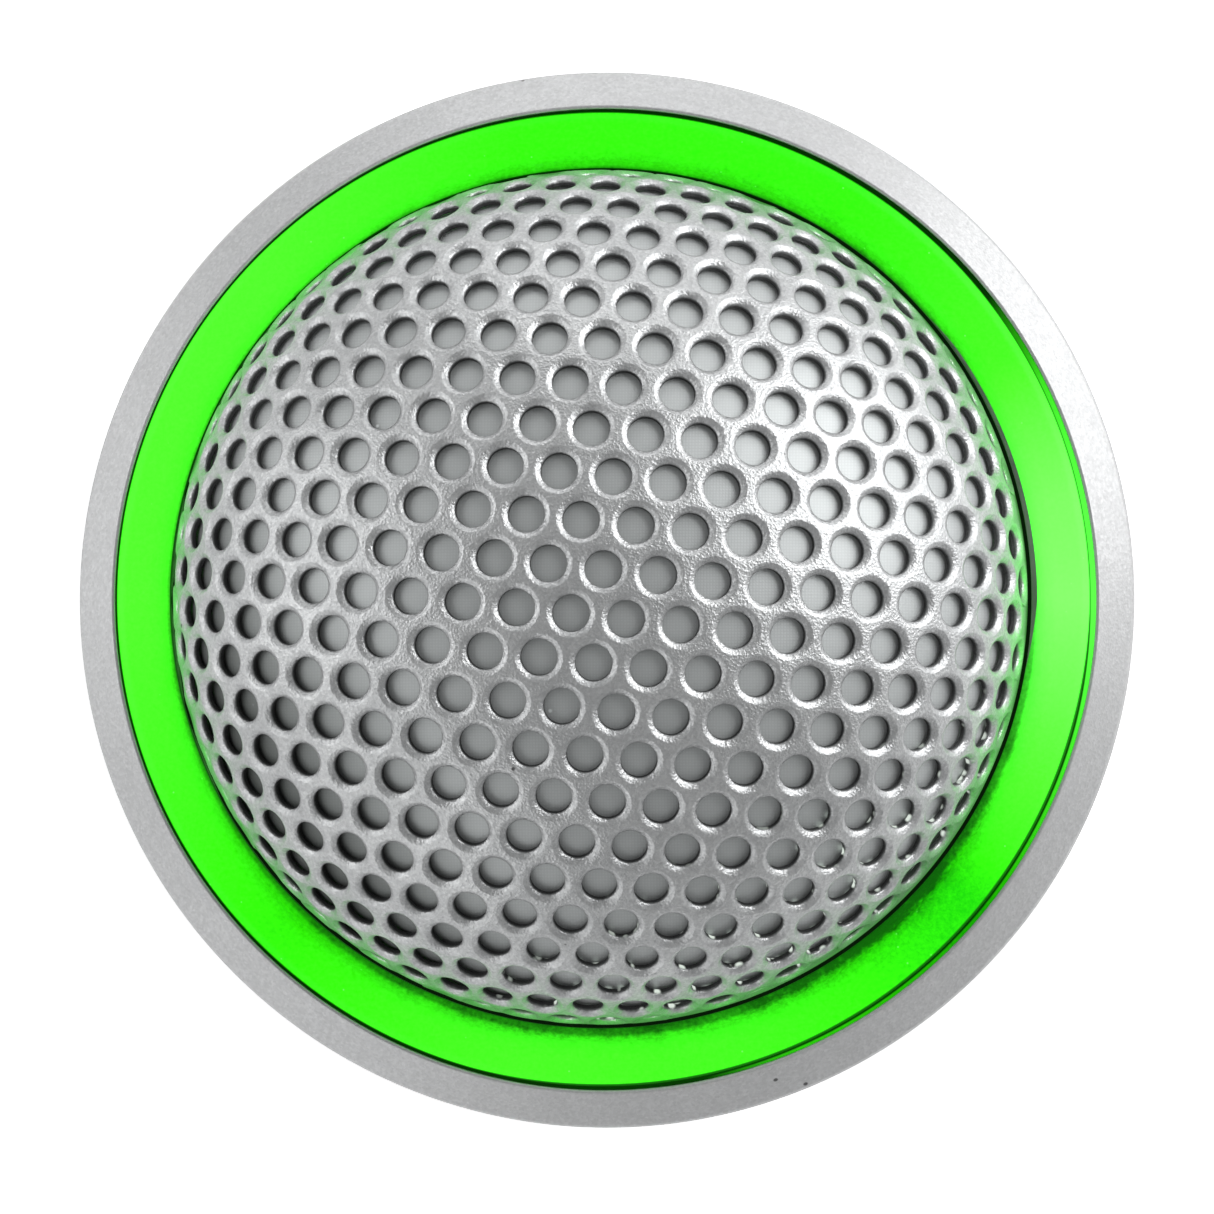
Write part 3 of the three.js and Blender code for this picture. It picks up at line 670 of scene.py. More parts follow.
def metal(name, dark, light, rough, brush_mm=None):
    """Plated or turned metal; brush_mm draws turning marks round Z."""
    n = Nodes(name)
    cloud = n.noise(2.5, 4, 0.6, 0.4)
    if brush_mm:
        rings = n.add("ShaderNodeTexNoise", noise_dimensions="1D", Scale=1 / (brush_mm * MM), Detail=3.0)
        n.link(n.radius(), rings.inputs["W"])
        grain = rings.outputs["Fac"]
    else:
        grain = n.noise(0.12, 3, 0.6)
    n.set(
        Base_Color=n.ramp(cloud, [(0.3, dark), (0.7, light)]),
        Metallic=1.0,
        Roughness=n.spread(n.total((cloud, 0.5), (grain, 0.5)), rough - 0.08, rough + 0.1, 0.3, 0.7),
    )
    n.bump((grain, 0.003), (n.noise(0.8, 3), 0.0024))
    return n.material


def laminate(name, dark, light):
    """Circuit board: solder mask over a glass weave, with faint copper pours."""
    n = Nodes(name)
    pour = n.spread(n.cells(3.2, "DISTANCE_TO_EDGE")["Distance"], 0, 1, 0.05, 0.08)
    n.set(
        Base_Color=n.mix(pour, dark, light),
        Roughness=n.spread(n.noise(0.5, 3), 0.29, 0.43),
        Coat_Weight=0.4,
        Coat_Roughness=0.2,
    )
    n.bump((pour, 0.02), (n.woven(0.45), 0.006))
    return n.material


def glossy(name, dark, light, rough):
    """Small moulded or insulated pieces with a smooth skin."""
    n = Nodes(name)
    n.set(
        Base_Color=n.ramp(n.noise(1.2, 4, 0.6), [(0.3, dark), (0.7, light)]),
        Roughness=n.spread(n.noise(0.25, 3), rough - 0.07, rough + 0.1),
        Coat_Weight=0.3,
        Coat_Roughness=0.15,
    )
    n.bump((n.noise(0.3, 3), 0.004))
    return n.material


def winding():
    """Enamelled wire wound round Z, with painted shade in the grooves between the turns."""
    n = Nodes("coil_copper")
    wire_mm = 0.12
    turns = n.math("SINE", n.times(n.z, 2 * math.pi / (wire_mm * MM)))
    # darker between the turns: a painted shade in the grooves
    tone = n.plus(n.times(turns, 0.25), n.noise(0.6, 3))
    n.set(
        Base_Color=n.ramp(tone, [(0.2, (0.25, 0.07, 0.02)), (0.7, (0.72, 0.30, 0.12))]),
        Metallic=1.0,
        Roughness=n.spread(n.noise(0.2, 2), 0.2, 0.4),
        Coat_Weight=0.5,
    )
    n.bump((turns, 0.03))
    return n.material


def painted_floor():
    """White paint with a painted glow round the part that fades out away from it."""
    n = Nodes("floor_white")
    n.set(
        Base_Color=n.ramp(n.noise(40, 3), [(0.3, 0.92), (0.7, 0.94)]),
        Roughness=n.spread(n.noise(3, 3), 0.55, 0.7),
        Emission_Color=(1.0, 1.0, 1.0),
        Emission_Strength=n.spread(n.radius(), 0.66, 0.03, 46 * MM, 100 * MM),
    )
    return n.material


SILVER = silver_paint()
GRILLE_SILVER = grille_silver()
GREEN = ring_glow()
# the lining takes a painted glow and a painted shade at its lower left
SCRIM = weave(
    "scrim_grey", (0.45, 0.47, 0.47), (0.56, 0.585, 0.585),
    thread_mm=0.14, depth=0.003, rough=0.52, sheen=0.2, through=0.04, lustre=0.5, shaded_lower_left=True,
)
SILK = weave(
    "coated_silk", (0.012, 0.011, 0.010), (0.035, 0.032, 0.03),
    thread_mm=0.22, depth=0.02, rough=0.65, sheen=0.4,
)
FELT = foam("felt_grey", (0.16, 0.15, 0.14), (0.36, 0.34, 0.32), cell_mm=0.25, depth=0.08)
FOAM = foam("foam_black", (0.008, 0.008, 0.008), (0.035, 0.035, 0.035))
BLACK = moulded("black_plastic", (0.012, 0.012, 0.013), (0.024, 0.024, 0.026))
DARK = moulded("dark_plastic", (0.022, 0.023, 0.025), (0.042, 0.043, 0.046), 0.42, 0.3, 0.008)
RUBBER = moulded("seal_rubber", (0.008, 0.008, 0.008), (0.018, 0.018, 0.018), 0.75, 0.12, 0.006)
ZINC = metal("zinc_steel", (0.48, 0.49, 0.50), (0.62, 0.63, 0.64), 0.32)
TURNED = metal("turned_steel", (0.46, 0.47, 0.48), (0.60, 0.61, 0.62), 0.3, brush_mm=0.12)
NICKEL = metal("magnet_nickel", (0.66, 0.65, 0.61), (0.76, 0.75, 0.71), 0.22)
TIN = metal("tin", (0.60, 0.56, 0.44), (0.74, 0.71, 0.60), 0.28)
COPPER = winding()
KAPTON = glossy("kapton", (0.30, 0.12, 0.02), (0.46, 0.22, 0.05), 0.3)
BOARD = laminate("board_green", (0.008, 0.07, 0.025), (0.014, 0.13, 0.05))
WHITE_BOARD = laminate("board_white", (0.62, 0.63, 0.61), (0.76, 0.77, 0.75))
LED_YELLOW = glossy("led_yellow", (0.62, 0.55, 0.22), (0.78, 0.72, 0.38), 0.2)
RED_WIRE = glossy("wire_red", (0.24, 0.012, 0.010), (0.36, 0.025, 0.020), 0.35)
BLACK_WIRE = glossy("wire_black", (0.010, 0.010, 0.010), (0.022, 0.022, 0.022), 0.35)

# ---- grille: the flat perforated sheet carried to the dome ------------------------------------------

DOME_STEPS = 4001
MERIDIAN_STEPS = 48
SKIRT_H = 4.0
SKIRT_STEPS = 80
SIDE_POINTS = 4
# points shared by two cells are matched to 1/500 mm; the shift keeps them off the ties in rounding
KEY_STEPS = 500
KEY_SHIFT = (0.1237, 0.3171)


class Dome:
    """Area-keeping map from flat radius to the dome's outer face, a half ellipsoid on a short cylinder."""

    def __init__(self):
        t = np.linspace(0, np.pi / 2, DOME_STEPS)
        r, z = DOME_R * np.sin(t), EQUATOR_Z + DOME_H * np.cos(t)
        length = np.hypot(np.diff(r), np.diff(z))
        area = np.concatenate([[0], np.cumsum(2 * np.pi * (r[1:] + r[:-1]) / 2 * length)])
        flat = np.sqrt(area / np.pi)
        normal = np.stack([np.sin(t) / DOME_R, np.cos(t) / DOME_H])
        normal /= np.linalg.norm(normal, axis=0)
        drop = np.linspace(0, SKIRT_H, SKIRT_STEPS + 1)[1:]
        below = np.sqrt(flat[-1] ** 2 + 2 * DOME_R * drop)
        self.flat = np.concatenate([flat, below])
        self.r = np.concatenate([r, np.full(SKIRT_STEPS, DOME_R)])
        self.z = np.concatenate([z, EQUATOR_Z - drop])
        self.nr = np.concatenate([normal[0], np.ones(SKIRT_STEPS)])
        self.nz = np.concatenate([normal[1], np.zeros(SKIRT_STEPS)])
        self.rim = float(np.interp(-RIM_Z, -self.z, self.flat))

    def place(self, xy, depth):
        """Flat points to the dome, depth millimetres under its outer face."""
        f = np.hypot(xy[:, 0], xy[:, 1])
        r, z, nr, nz = (np.interp(f, self.flat, a) for a in (self.r, self.z, self.nr, self.nz))
        reach = (r - nr * depth) / np.maximum(f, 1e-9)
        return np.stack([xy[:, 0] * reach, xy[:, 1] * reach, z - nz * depth], 1)


class Cells:
    """The flat sheet's hexagonal cells: each a round hole, its wall, and both faces out to the cell's edge."""

    def __init__(self, rim):
        self.points, self.depths, self.faces = [], [], []
        self.shared = {}
        self.boundary = {}
        around = 6 * SIDE_POINTS
        turn = even_angles(around) + np.pi / 6
        side = (turn - np.pi / 6) % (np.pi / 3) - np.pi / 6
        self.unit = np.stack([np.cos(turn), np.sin(turn)], 1)
        self.edge = self.unit * (0.5 / np.cos(side))[:, None] * [HOLE_PITCH, ROW_GAP / math.sqrt(0.75)]
        reach = int(2 * rim / HOLE_PITCH) + 2
        for j in range(-reach, reach + 1):
            for i in range(-reach, reach + 1):
                u = (i + j / 2) * HOLE_PITCH + GRID_SHIFT[0]
                v = j * ROW_GAP + GRID_SHIFT[1]
                if math.hypot(u, v) <= rim - 0.9 * HOLE_PITCH / 2:
                    self.add_cell(np.array([u, v]))
        c, s = math.cos(GRID_TURN), math.sin(GRID_TURN)
        self.points = np.array(self.points) @ np.array([[c, s], [-s, c]])
        self.depths = np.array(self.depths)

    def point(self, xy, depth, on_edge):
        """A point's index. Cells share the points of their common edges, matched by rounded position."""
        key = (*(round(c * KEY_STEPS + shift) for c, shift in zip(xy, KEY_SHIFT)), depth)
        if on_edge and key in self.shared:
            return self.shared[key]
        if on_edge:
            self.shared[key] = len(self.points)
        self.points.append(xy)
        self.depths.append(depth)
        return len(self.points) - 1

    def add_cell(self, centre):
        """Rings from the cell's outer edge to the hole, through the sheet and out again on its other face."""
        widest = EDGE[0][0]
        rings = [(widest, 1.0, 0.0), (widest, 0.4, 0.0)]
        rings += [(grow, 0.0, depth) for grow, depth in EDGE]
        rings += [(0.0, 0.0, SHEET - EDGE_BACK), (EDGE_BACK, 0.0, SHEET), (0.0, 1.0, SHEET)]
        index = []
        for grow, share, depth in rings:
            hole = self.unit * (HOLE_D / 2 + grow)
            ring = centre + hole + share * (self.edge - hole)
            index.append([self.point(xy, depth, share == 1.0) for xy in ring])
        for a, b in zip(index, index[1:]):
            self.faces.extend((a[k], a[m], b[m], b[k]) for k, m in loop_pairs(len(a)))
        for ids, top in ((index[0], True), (index[-1], False)):
            for k, m in loop_pairs(len(ids)):
                link = (ids[k], ids[m]) if top else (ids[m], ids[k])
                if link[::-1] in self.boundary:
                    del self.boundary[link[::-1]]
                else:
                    self.boundary[link] = top

    def draw_out(self, links, rim):
        """Walks the boundary's links once round, moves its points out to the rim, and gives their angles."""
        start = next(iter(links))
        loop = [start]
        while links[loop[-1]] != start:
            loop.append(links[loop[-1]])
        assert len(loop) == len(links), "the grille's edge is one loop"
        angle = self.angles(loop)
        if angle[-1] < angle[0]:
            loop, angle = loop[::-1], angle[::-1]
        shift = int(np.argmin(np.mod(angle, 2 * np.pi)))
        loop = loop[shift:] + loop[:shift]
        rising = np.maximum.accumulate(self.angles(loop)) + np.arange(len(loop)) * 1e-5
        self.points[loop] = np.stack([np.cos(rising), np.sin(rising)], 1) * rim
        return loop, rising

    def angles(self, loop):
        return np.unwrap(np.arctan2(self.points[loop, 1], self.points[loop, 0]))


def grille_mesh():
    """The sheet on the dome, with its outermost cells drawn out to a plain skirt that turns in to a lip."""
    dome = Dome()
    cells = Cells(dome.rim)
    top = {a: b for (a, b), on_top in cells.boundary.items() if on_top}
    under = {b: a for (a, b), on_top in cells.boundary.items() if not on_top}
    outer, angles = cells.draw_out(top, dome.rim)
    inner, _ = cells.draw_out(under, dome.rim)
    verts = np.empty((len(cells.points), 3))
    for depth in np.unique(cells.depths):
        pick = cells.depths == depth
        verts[pick] = dome.place(cells.points[pick], depth)
    skirt = rounded([
        (DOME_R, RIM_Z, 0), (DOME_R, LIP_Z, 0.3), (LIP_R, LIP_Z, 0.2),
        (LIP_R, LIP_Z + SHEET, 0.2), (DOME_R - SHEET, LIP_Z + SHEET, 0.15), (DOME_R - SHEET, RIM_Z, 0),
    ])[1:-1]
    lip, _ = turned(skirt, angles)
    bases = len(verts) + np.arange(len(skirt)) * len(angles)
    rows = [outer] + [range(base, base + len(angles)) for base in bases.tolist()] + [inner]
    faces = cells.faces
    for a, b in zip(rows, rows[1:]):
        faces.extend((a[k], b[k], b[m], a[m]) for k, m in loop_pairs(len(a)))
    return np.concatenate([verts, lip]), faces


def meridian(inset):
    """Half of the dome's outline, from the top to the equator, inset millimetres under its outer face."""
    radius, height = DOME_R - inset, DOME_H - inset
    quarter = np.linspace(0, math.pi / 2, MERIDIAN_STEPS)
    return [(radius * math.sin(t), EQUATOR_Z + height * math.cos(t)) for t in quarter]


def make_front():
    grille = moved(grille_mesh(), *GRILLE_OFFSET)
    add_piece("grille_dome", *grille, GRILLE_SILVER, "housing", ["grille"], "silver_paint")

    hem = z_of("grille_scrim")[0]
    inset = SHEET + LINING_GAP
    outside = meridian(inset) + [(DOME_R - inset, hem)]
    inside = meridian(inset + LINING) + [(DOME_R - inset - LINING, hem)]
    lining = moved(capped_lathe(outside + inside[::-1], 128), *GRILLE_OFFSET)
    add_piece("grille_lining", *lining, SCRIM, "housing", ["grille_scrim"], "scrim_grey")

    ring = rounded([
        (RING_LIP_R, 24.1, 0.1), (RING_FOOT_R, 24.1, 0.1), (RING_FOOT_R, 24.6, 0.1), (RING_OUT_R, 24.6, 0.05),
        (RING_OUT_R, 25.75, 0.1), (22.6, 25.98, 0.5), (21.9, 26.0, 1.2), (21.2, 25.88, 0.8),
        (20.86, 25.68, 0.2), (20.7, 25.35, 0.1), (RING_IN_R, 25.22, 0.08), (RING_LIP_R, 25.15, 0.05),
    ], 5, 0.1)
    verts, faces = lathe(ring, 288)
    # the rim, the bore and the lip each have their own centre; the lip follows the dome
    from_axis = np.hypot(verts[:, 0], verts[:, 1])[:, None]
    bore_low, bore_high = RING_BORE_R
    near_bore = np.clip((bore_high - from_axis) / (bore_high - bore_low), 0, 1)
    at_lip = np.clip((RING_IN_R - from_axis) / (RING_IN_R - RING_LIP_R), 0, 1)
    shift = (1 - near_bore) * RING_OFFSET + near_bore * BORE_OFFSET
    verts[:, :2] += (1 - at_lip) * shift + at_lip * GRILLE_OFFSET
    add_piece("glow_ring", verts, faces, GREEN, "housing", ["light_ring"], "ring_green")

    bore, over_housing = RING_OUT_R + BEZEL_GAP, HOUSING_R + 0.2
    bezel = rounded([
        (bore, 24.8, 0.05), (bore, 25.88, 0.05), (23.32, 25.93, 0.1), (24.9, 24.24, 0.1),
        (FLANGE_R, 24.0, 0.1), (FLANGE_R, 20.4, 0.25), (24, 20.4, 0.1), (24, 20.7, 0.05),
        (over_housing, 20.75, 0.05), (over_housing, 24.1, 0.1), (23.95, 24.8, 0.05),
    ], 5, 0.1)
    add_piece("bezel_ring", *lathe(bezel, 288), SILVER, "housing", ["bezel"], "silver_paint")

    low, high = z_of("panel_gasket")
    inner, outer = 21.6, radius_of("panel_gasket")
    pad = rounded([(inner, low, 0.12), (outer, low, 0.12), (outer, high, 0.05), (inner, high, 0.05)], 4, 0.2)
    add_piece("gasket_foam", *lathe(pad, 240), FOAM, "housing", ["panel_gasket"], "foam_black")


# ---- barrel, nut and washer -------------------------------------------------------------------------

RUNOUTS_PER_TURN = 6
KEY_RAMP = 0.12
WALL_TRIM = 0.02


def smooth_step(x):
    x = np.clip(x, 0, 1)
    return x * x * (3 - 2 * x)


def ridge_at(z, angles, start_z, turns, half_root, half_crest):
    """Height, 0 to 1, of a rounded trapezoid ridge along a helix at height z, tapering at both ends."""
    best = np.zeros_like(angles)
    for lap in range(-1, turns + 2):
        along = angles / (2 * np.pi) + lap
        off = np.abs(z - start_z - along * THREAD_PITCH)
        flank = smooth_step((half_root - off) / (half_root - half_crest))
        start, end = (smooth_step(t * RUNOUTS_PER_TURN + 0.05) for t in (along, turns - along))
        on_thread = (along >= -0.01) * (along <= turns + 0.01)
        best = np.maximum(best, flank * start * end * on_thread)
    return best


def keyway_at(angles, radius, width):
    """1 inside the keyways on +X and -X, 0 outside, with short ramps."""
    across = np.abs(radius * np.sin(angles))
    return smooth_step((width / 2 + KEY_RAMP - across) / (2 * KEY_RAMP))


def barrel_angles():
    """Even steps, with closer ones at the keyways' edges."""
    edge = math.asin(KEYWAY_W / 2 / BARREL_R)
    near = [edge + d / BARREL_R for d in (-0.16, -0.12, -0.06, 0, 0.06, 0.12, 0.16)]
    extra = [a for e in near for a in (e, -e, math.pi - e, math.pi + e)]
    return np.unique(np.round(np.concatenate([even_angles(240), np.mod(extra, 2 * np.pi)]), 6))


def screw_places():
    """Where the cover's screws and their bosses are, as (x, y)."""
    turns = [math.radians(a) for a in SCREW_ANGLES]
    return [(SCREW_RING_R * math.cos(t), SCREW_RING_R * math.sin(t)) for t in turns]


def housing_mesh():
    angles = barrel_angles()
    keyway = keyway_at(angles, BARREL_R, KEYWAY_W)

    def radius_at(r, z):
        if abs(r - BARREL_R) > WALL_TRIM / 2:
            return np.full(len(angles), r)
        ridge = ridge_at(z, angles, THREAD_START_Z, THREAD_TURNS, 0.78, 0.42)
        return BARREL_R + THREAD_DEPTH * ridge * (1 - keyway)

    # the outline is split so that only the wall, exactly at the barrel's radius, takes the thread
    wall = [(BARREL_R, z) for z in np.linspace(BARREL_REAR_Z + 0.6, FLANGE_Z - 0.5, 150)]
    beside = BARREL_R - WALL_TRIM
    rear = rounded([
        (BORE_R, 6, 0), (BORE_R, BARREL_REAR_Z, 0.1), (beside, BARREL_REAR_Z, 0.25), (beside, 6, 0),
    ])[1:-1]
    flange = rounded([
        (beside, 18, 0), (beside, FLANGE_Z, 0.3), (HOUSING_R, FLANGE_Z, 0.1), (HOUSING_R, HOUSING_TOP_Z, 0.1),
        (23.6, HOUSING_TOP_Z, 0.1), (23.6, FACE_Z, 0.1), (BORE_R, FACE_Z, 0.1), (BORE_R, 18.3, 0.05),
        (14.4, 18.3, 0.1), (14.4, 16.6, 0.1), (BORE_R, 16.6, 0.1), (BORE_R, 12, 0),
    ])[1:-1]
    shell = turned(rear + wall + flange, angles, radius_at)
    boss = lathe(rounded([(1.05, 2.7, 0.05), (2.2, 2.7, 0.1), (2.2, 17.1, 0.1), (1.05, 17.1, 0.05)], 2), 32)
    return merged(shell, *(moved(boss, x, y) for x, y in screw_places()))


def nut_mesh():
    """A threaded ring with lugs, and fine grip ribs between them."""
    angles = even_angles(720)
    root = BARREL_R + THREAD_DEPTH + THREAD_GAP
    start = THREAD_START_Z + THREAD_PITCH * 1.5
    phase = np.mod(angles / (2 * np.pi) * LUGS, 1) - 0.5
    half = LUG_W / 2 / (NUT_R * 2 * np.pi / LUGS)
    ramp = 0.016
    lug = smooth_step((half + ramp - np.abs(phase)) / (2 * ramp))
    grip = RIB_H * np.cos(angles * RIBS) * (1 - lug)

    def radius_at(r, z):
        if r < root + 0.01:
            ridge = ridge_at(z, angles, start, 1, 0.6, 0.32)
            return r - THREAD_DEPTH * ridge
        if r < NUT_R - 0.25:
            return np.full(len(angles), r)
        rise = smooth_step((z - NUT_Z[0] - 0.35) / 0.5) * smooth_step((NUT_Z[1] + 0.02 - z) / 0.25)
        return r + (LUG_R - NUT_R) * lug * rise + (grip - RIB_H) * rise

    low, high = NUT_Z
    outside = [(NUT_R, z) for z in np.linspace(low + 0.45, high - 0.3, 20)]
    foot = [(root + 0.35, low), (NUT_R - 0.55, low), (NUT_R - 0.4, low + 0.03), (NUT_R - 0.12, low + 0.2)]
    top = [(NUT_R - 0.05, high - 0.12), (NUT_R - 0.2, high), (NUT_R - 0.4, high), (root + 0.35, high)]
    thread = [(root, z) for z in np.linspace(high - 0.3, low + 0.3, 44)]
    inside = [(root + 0.3, high - 0.02)] + thread + [(root + 0.3, low + 0.02)]
    return turned(foot + outside + top + inside, angles, radius_at)


def washer_mesh():
    """A flat ring with two keys that reach into the keyways, and a groove in its top."""
    angles = barrel_angles()
    inner, outer = WASHER_R
    key = keyway_at(angles, inner, KEYWAY_W - 2 * KEY_GAP)

    def radius_at(r, z):
        if r > inner + 0.3:
            return np.full(len(angles), r)
        return r - key * (inner - BARREL_R - 0.35)

    low, high = WASHER_Z
    points = rounded([(inner, low, 0.12), (outer, low, 0.15), (outer, high, 0.25), (inner, high, 0.12)], 4, 0.3)
    groove = [(23.5, high), (23.35, high - 0.15), (23.2, high - 0.2), (23.05, high - 0.15), (22.9, high)]
    at = max(i for i, p in enumerate(points) if p[0] > 23.6) + 1
    return turned(points[:at] + groove + points[at:], angles, radius_at)


# ---- rear cover, screws, terminals and surround -------------------------------------------------------

# where the tools that cut the cover and its plug well start, just outside the rear face
OUTSIDE = -0.5


def cover_mesh():
    """A disc and a plug well, cut by the socket, the terminals' slot, the screw holes and two grooves."""
    edge = rounded([
        (0, 0, 0), (COVER_R - 0.6, 0, 0.2), (COVER_R, 0.6, 0.2), (COVER_R, COVER_T, 0.12), (0, COVER_T, 0),
    ])[1:-1]
    disc = capped_lathe([(0, 0)] + edge + [(0, COVER_T)], 192)
    half_w, half_h, wall, depth, roof = 6.3, 3.6, 1.2, 5.6, z_of("rear_cover")[1]
    well = box_mesh((-half_w - wall, -half_h - wall, COVER_T - 0.5), (half_w + wall, half_h + wall, roof))
    tools = [
        box_mesh((-half_w, -half_h, OUTSIDE), (half_w, half_h, depth)),
        box_mesh((-2.2, -half_h - 0.75, OUTSIDE), (2.2, -half_h + 0.2, depth - 1.2)),
        box_mesh((-5.8, 0.95, depth - 0.5), (5.8, 3.45, roof + 0.5)),
    ]
    for x, y in screw_places():
        for r, top, sides in ((1.1, 3, 32), (1.95, 1.25, 48)):
            tools.append(moved(capped_lathe([(0, OUTSIDE), (r, OUTSIDE), (r, top), (0, top)], sides), x, y))
    groove_w, groove_t = 0.35, 0.25
    for r in (8.6, 13.4):
        groove = [(r, OUTSIDE), (r + groove_w, OUTSIDE), (r + groove_w, groove_t), (r, groove_t)]
        tools.append(lathe(groove, 192))
    return combined([combined([disc, well], "UNION"), *tools], "DIFFERENCE")


def screw_mesh():
    """A pan head that faces -Z with a cross recess, on a threaded shank towards +Z."""
    outline = [(0, 0.3), (0.9, 0.32), (1.35, 0.42), (1.55, 0.62), (1.6, 0.8), (1.6, 1.15), (0.75, 1.15)]
    for z in np.arange(1.5, 10, 0.5).tolist():
        outline += [(0.68, z), (0.75, z + 0.18), (0.68, z + 0.36)]
    outline += [(0.6, 10.2), (0, 10.5)]
    slots = [box_mesh((-w, -h, -1), (w, h, 0.85)) for w, h in ((1.0, 0.2), (0.2, 1.0))]
    return combined([capped_lathe(outline, 40), *slots], "DIFFERENCE")


def pin_mesh(low, high):
    """A square post with pyramid tips, between two corners."""
    x, y, half = (low[0] + high[0]) / 2, (low[1] + high[1]) / 2, (high[0] - low[0]) / 2
    verts = []
    for z, h in ((low[2], half * 0.45), (low[2] + 0.5, half), (high[2] - 0.5, half), (high[2], half * 0.45)):
        verts += [(x - h, y - h, z), (x + h, y - h, z), (x + h, y + h, z), (x - h, y + h, z)]
    faces = [(3, 2, 1, 0), (12, 13, 14, 15)]
    for base in (0, 4, 8):
        for i, m in loop_pairs(4):
            faces.append((base + i, base + m, base + m + 4, base + i + 4))
    return verts, faces


def make_barrel():
    add_piece("housing_barrel", *housing_mesh(), BLACK, "housing", ["housing"], "black_plastic")
    add_piece("nut_ring", *nut_mesh(), DARK, "clamp_nut", ["clamp_nut"], "dark_plastic")
    add_piece("washer_ring", *washer_mesh(), DARK, "slip_washer", ["slip_washer"], "dark_plastic")


def make_rear():
    cover = add_piece(
        "rear_plate", *cover_mesh(), BLACK, "housing", ["rear_cover"], "black_plastic", smooth=False,
    )
    soften(cover, 0.05, weighted=False)
    low, high = z_of("cover_seal")
    inner, outer = 18.9, radius_of("cover_seal")
    seal = rounded([(inner, low, 0.1), (outer, low, 0.15), (outer, high, 0.15), (inner, high, 0.1)], 3, 0.2)
    add_piece("seal_ring", *lathe(seal, 192), RUBBER, "housing", ["cover_seal"], "seal_rubber")
    screw = screw_mesh()
    for k, (x, y) in enumerate(screw_places()):
        piece = add_piece(
            f"rear_screw_{k + 1}", *moved(screw, x, y, math.radians(17 + 41 * k)), ZINC,
            "housing", [f"cover_screw_{k + 1}"], "zinc_steel",
        )
        soften(piece, 0.04)
    for k in range(1, 5):
        node = f"terminal_pin_{k}"
        pin = add_piece(f"pin_{k}", *pin_mesh(*extent(node)), TIN, "housing", [node], "tin", smooth=False)
        soften(pin, 0.04)


def make_surround():
    """The diaphragm's roll: the frame holds its foot. It stays in place and does not follow the diaphragm."""
    inner, outer, rim = 10.6, 13.5, radius_of("surround")
    foot = z_of("surround")[0]
    fabric, rise, bulge = 0.25, 0.8, 0.9
    roll = []
    for share in np.linspace(0, 1, 25):
        r = (inner + outer) / 2 + (outer - inner) / 2 * math.cos(share * math.pi)
        roll.append((r, foot + rise * share + bulge * math.sin(share * math.pi)))
    skin = [(r, z + fabric) for r, z in reversed(roll)]
    held, moving = ((0, 0, z * MM) for z in (foot + fabric + 0.01, foot + rise))
    add_piece(
        "surround_roll", *lathe([(rim, foot)] + roll + skin + [(rim, foot + fabric)], 160), SILK,
        ("housing", "diaphragm", held, moving), ["surround"],
    )


# ---- CAD nodes that keep their own shape: material and bevel ------------------------------------------

KEPT = {
    "led_board": (WHITE_BOARD, 0.05),
    "pot": (TURNED, 0.25),
    "magnet": (NICKEL, 0.15),
    "top_plate": (TURNED, 0.15),
    "damping_pad": (FELT, 0.2),
    "chamber_pad": (FELT, 0.2),
    "coil_former": (KAPTON, 0),
    "voice_coil": (COPPER, 0.08),
    "diaphragm": (SILK, 0),
    "diaphragm_frame": (DARK, 0.1),
    "waveguide": (DARK, 0.1),
    "crossover_board": (BOARD, 0.05),
    "terminal_header": (BLACK, 0.06),
    "capacitor": (ZINC, 0.2),
    "led_resistor": (BLACK, 0.06),
    "coil_lead_a": (COPPER, 0),
    "coil_lead_b": (COPPER, 0),
    "led_lead_a": (RED_WIRE, 0),
    "led_lead_b": (BLACK_WIRE, 0),
    **{f"led_{k}": (LED_YELLOW, 0.1) for k in range(1, 9)},
    **{f"frame_screw_{k}": (ZINC, 0.06) for k in range(1, 4)},
}


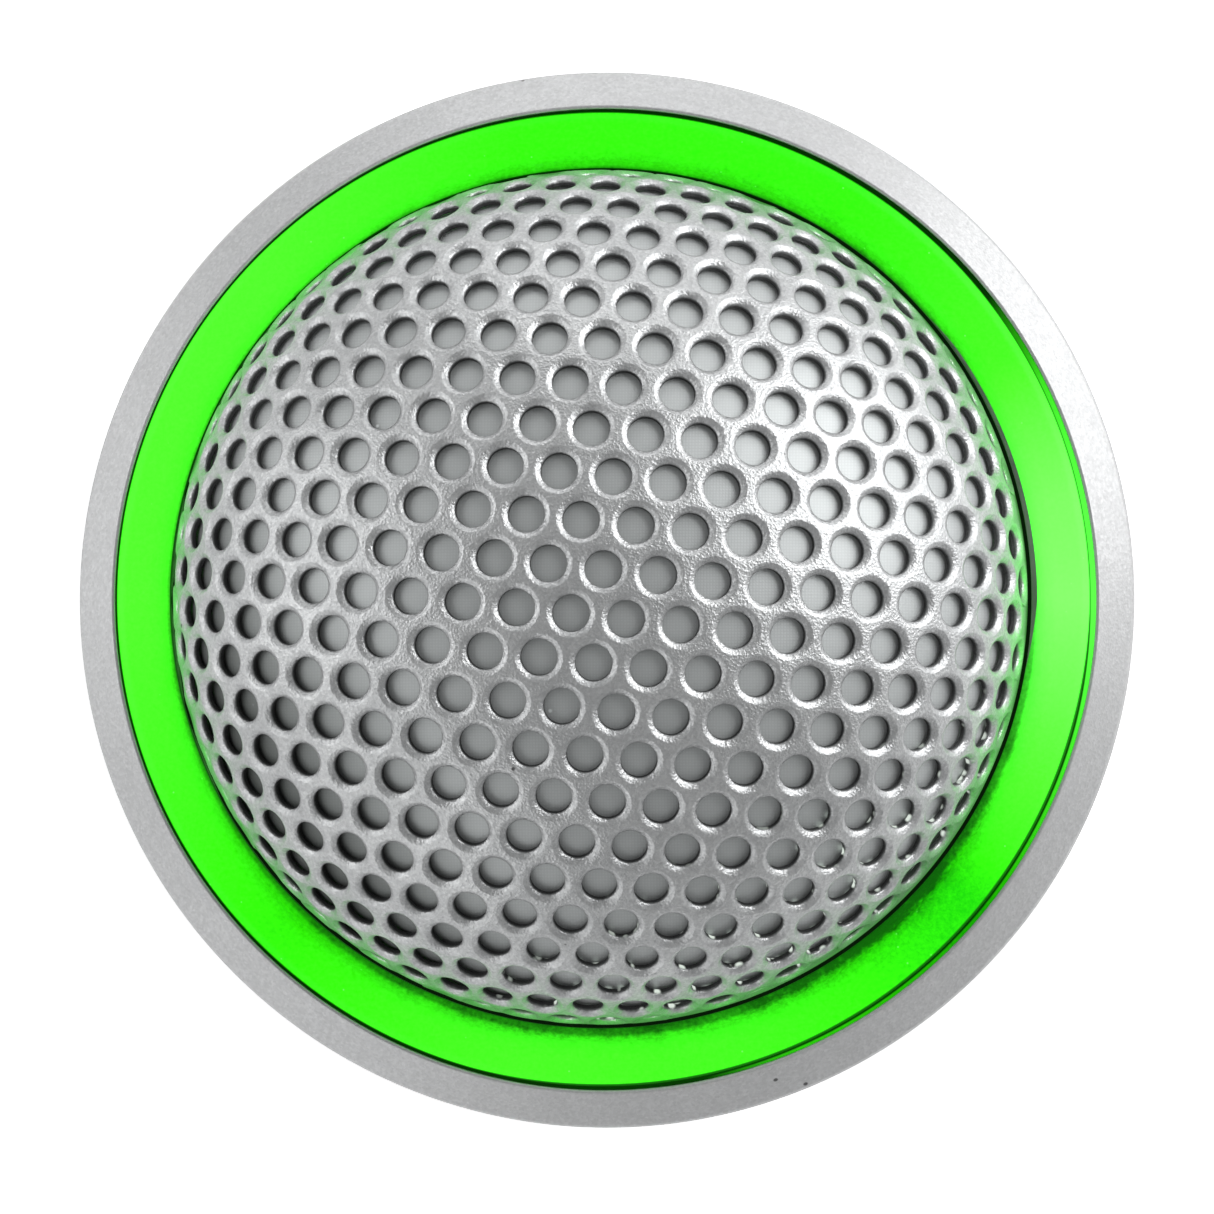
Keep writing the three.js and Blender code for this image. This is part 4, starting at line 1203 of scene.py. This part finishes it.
def dress_kept():
    for name, (material, bevel) in KEPT.items():
        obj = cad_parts[name]
        obj.data.materials.clear()
        obj.data.materials.append(material)
        if bevel:
            soften(obj, bevel, angle=50)


# ---- set --------------------------------------------------------------------------------------------

FLOOR_SIZE = 3
FLOOR_DROP = 0.05
LIGHTS = {
    # name: direction, distance and size in metres, watts
    "key": ((0.80, 0.445, 0.42), 0.6, 0.56, 3.5),
    "top": ((-0.1, 0.98, 0.12), 0.8, 0.6, 1.9),
    "left": ((-0.92, 0.16, 0.37), 0.8, 0.7, 2.4),
    "low": ((-0.62, -0.75, 0.30), 0.8, 0.7, 1.5),
}
SKY = ((0.0, 0.41), (1.0, 0.24))


def area_light(name, direction, distance, size, power):
    lamp = bpy.data.lights.new(name, "AREA")
    lamp.shape = "SQUARE"
    lamp.size = size
    lamp.energy = power
    obj = bpy.data.objects.new(name, lamp)
    scene.collection.objects.link(obj)
    obj.location = Vector(direction).normalized() * distance
    obj.rotation_euler = obj.location.to_track_quat("Z", "Y").to_euler()


def make_world():
    """A grey sky, from the horizon's grey to the zenith's."""
    world = bpy.data.worlds.new("studio")
    scene.world = world
    world.use_nodes = True
    tree = world.node_tree
    coords = tree.nodes.new("ShaderNodeTexCoord")
    split = tree.nodes.new("ShaderNodeSeparateXYZ")
    ramp = tree.nodes.new("ShaderNodeValToRGB")
    tree.links.new(coords.outputs["Generated"], split.inputs["Vector"])
    tree.links.new(split.outputs["Z"], ramp.inputs["Fac"])
    tree.links.new(ramp.outputs["Color"], tree.nodes["Background"].inputs["Color"])
    for element, (height, grey) in zip(ramp.color_ramp.elements, SKY):
        element.position = height
        element.color = (grey, grey, grey, 1)


def make_set():
    bpy.ops.mesh.primitive_plane_add(size=FLOOR_SIZE, location=(0, 0, -FLOOR_DROP * MM))
    floor = bpy.context.object
    floor.name = "floor"
    floor.data.materials.append(painted_floor())
    for name, values in LIGHTS.items():
        area_light(name, *values)
    make_world()


make_front()
make_barrel()
make_rear()
make_surround()
dress_kept()
make_set()
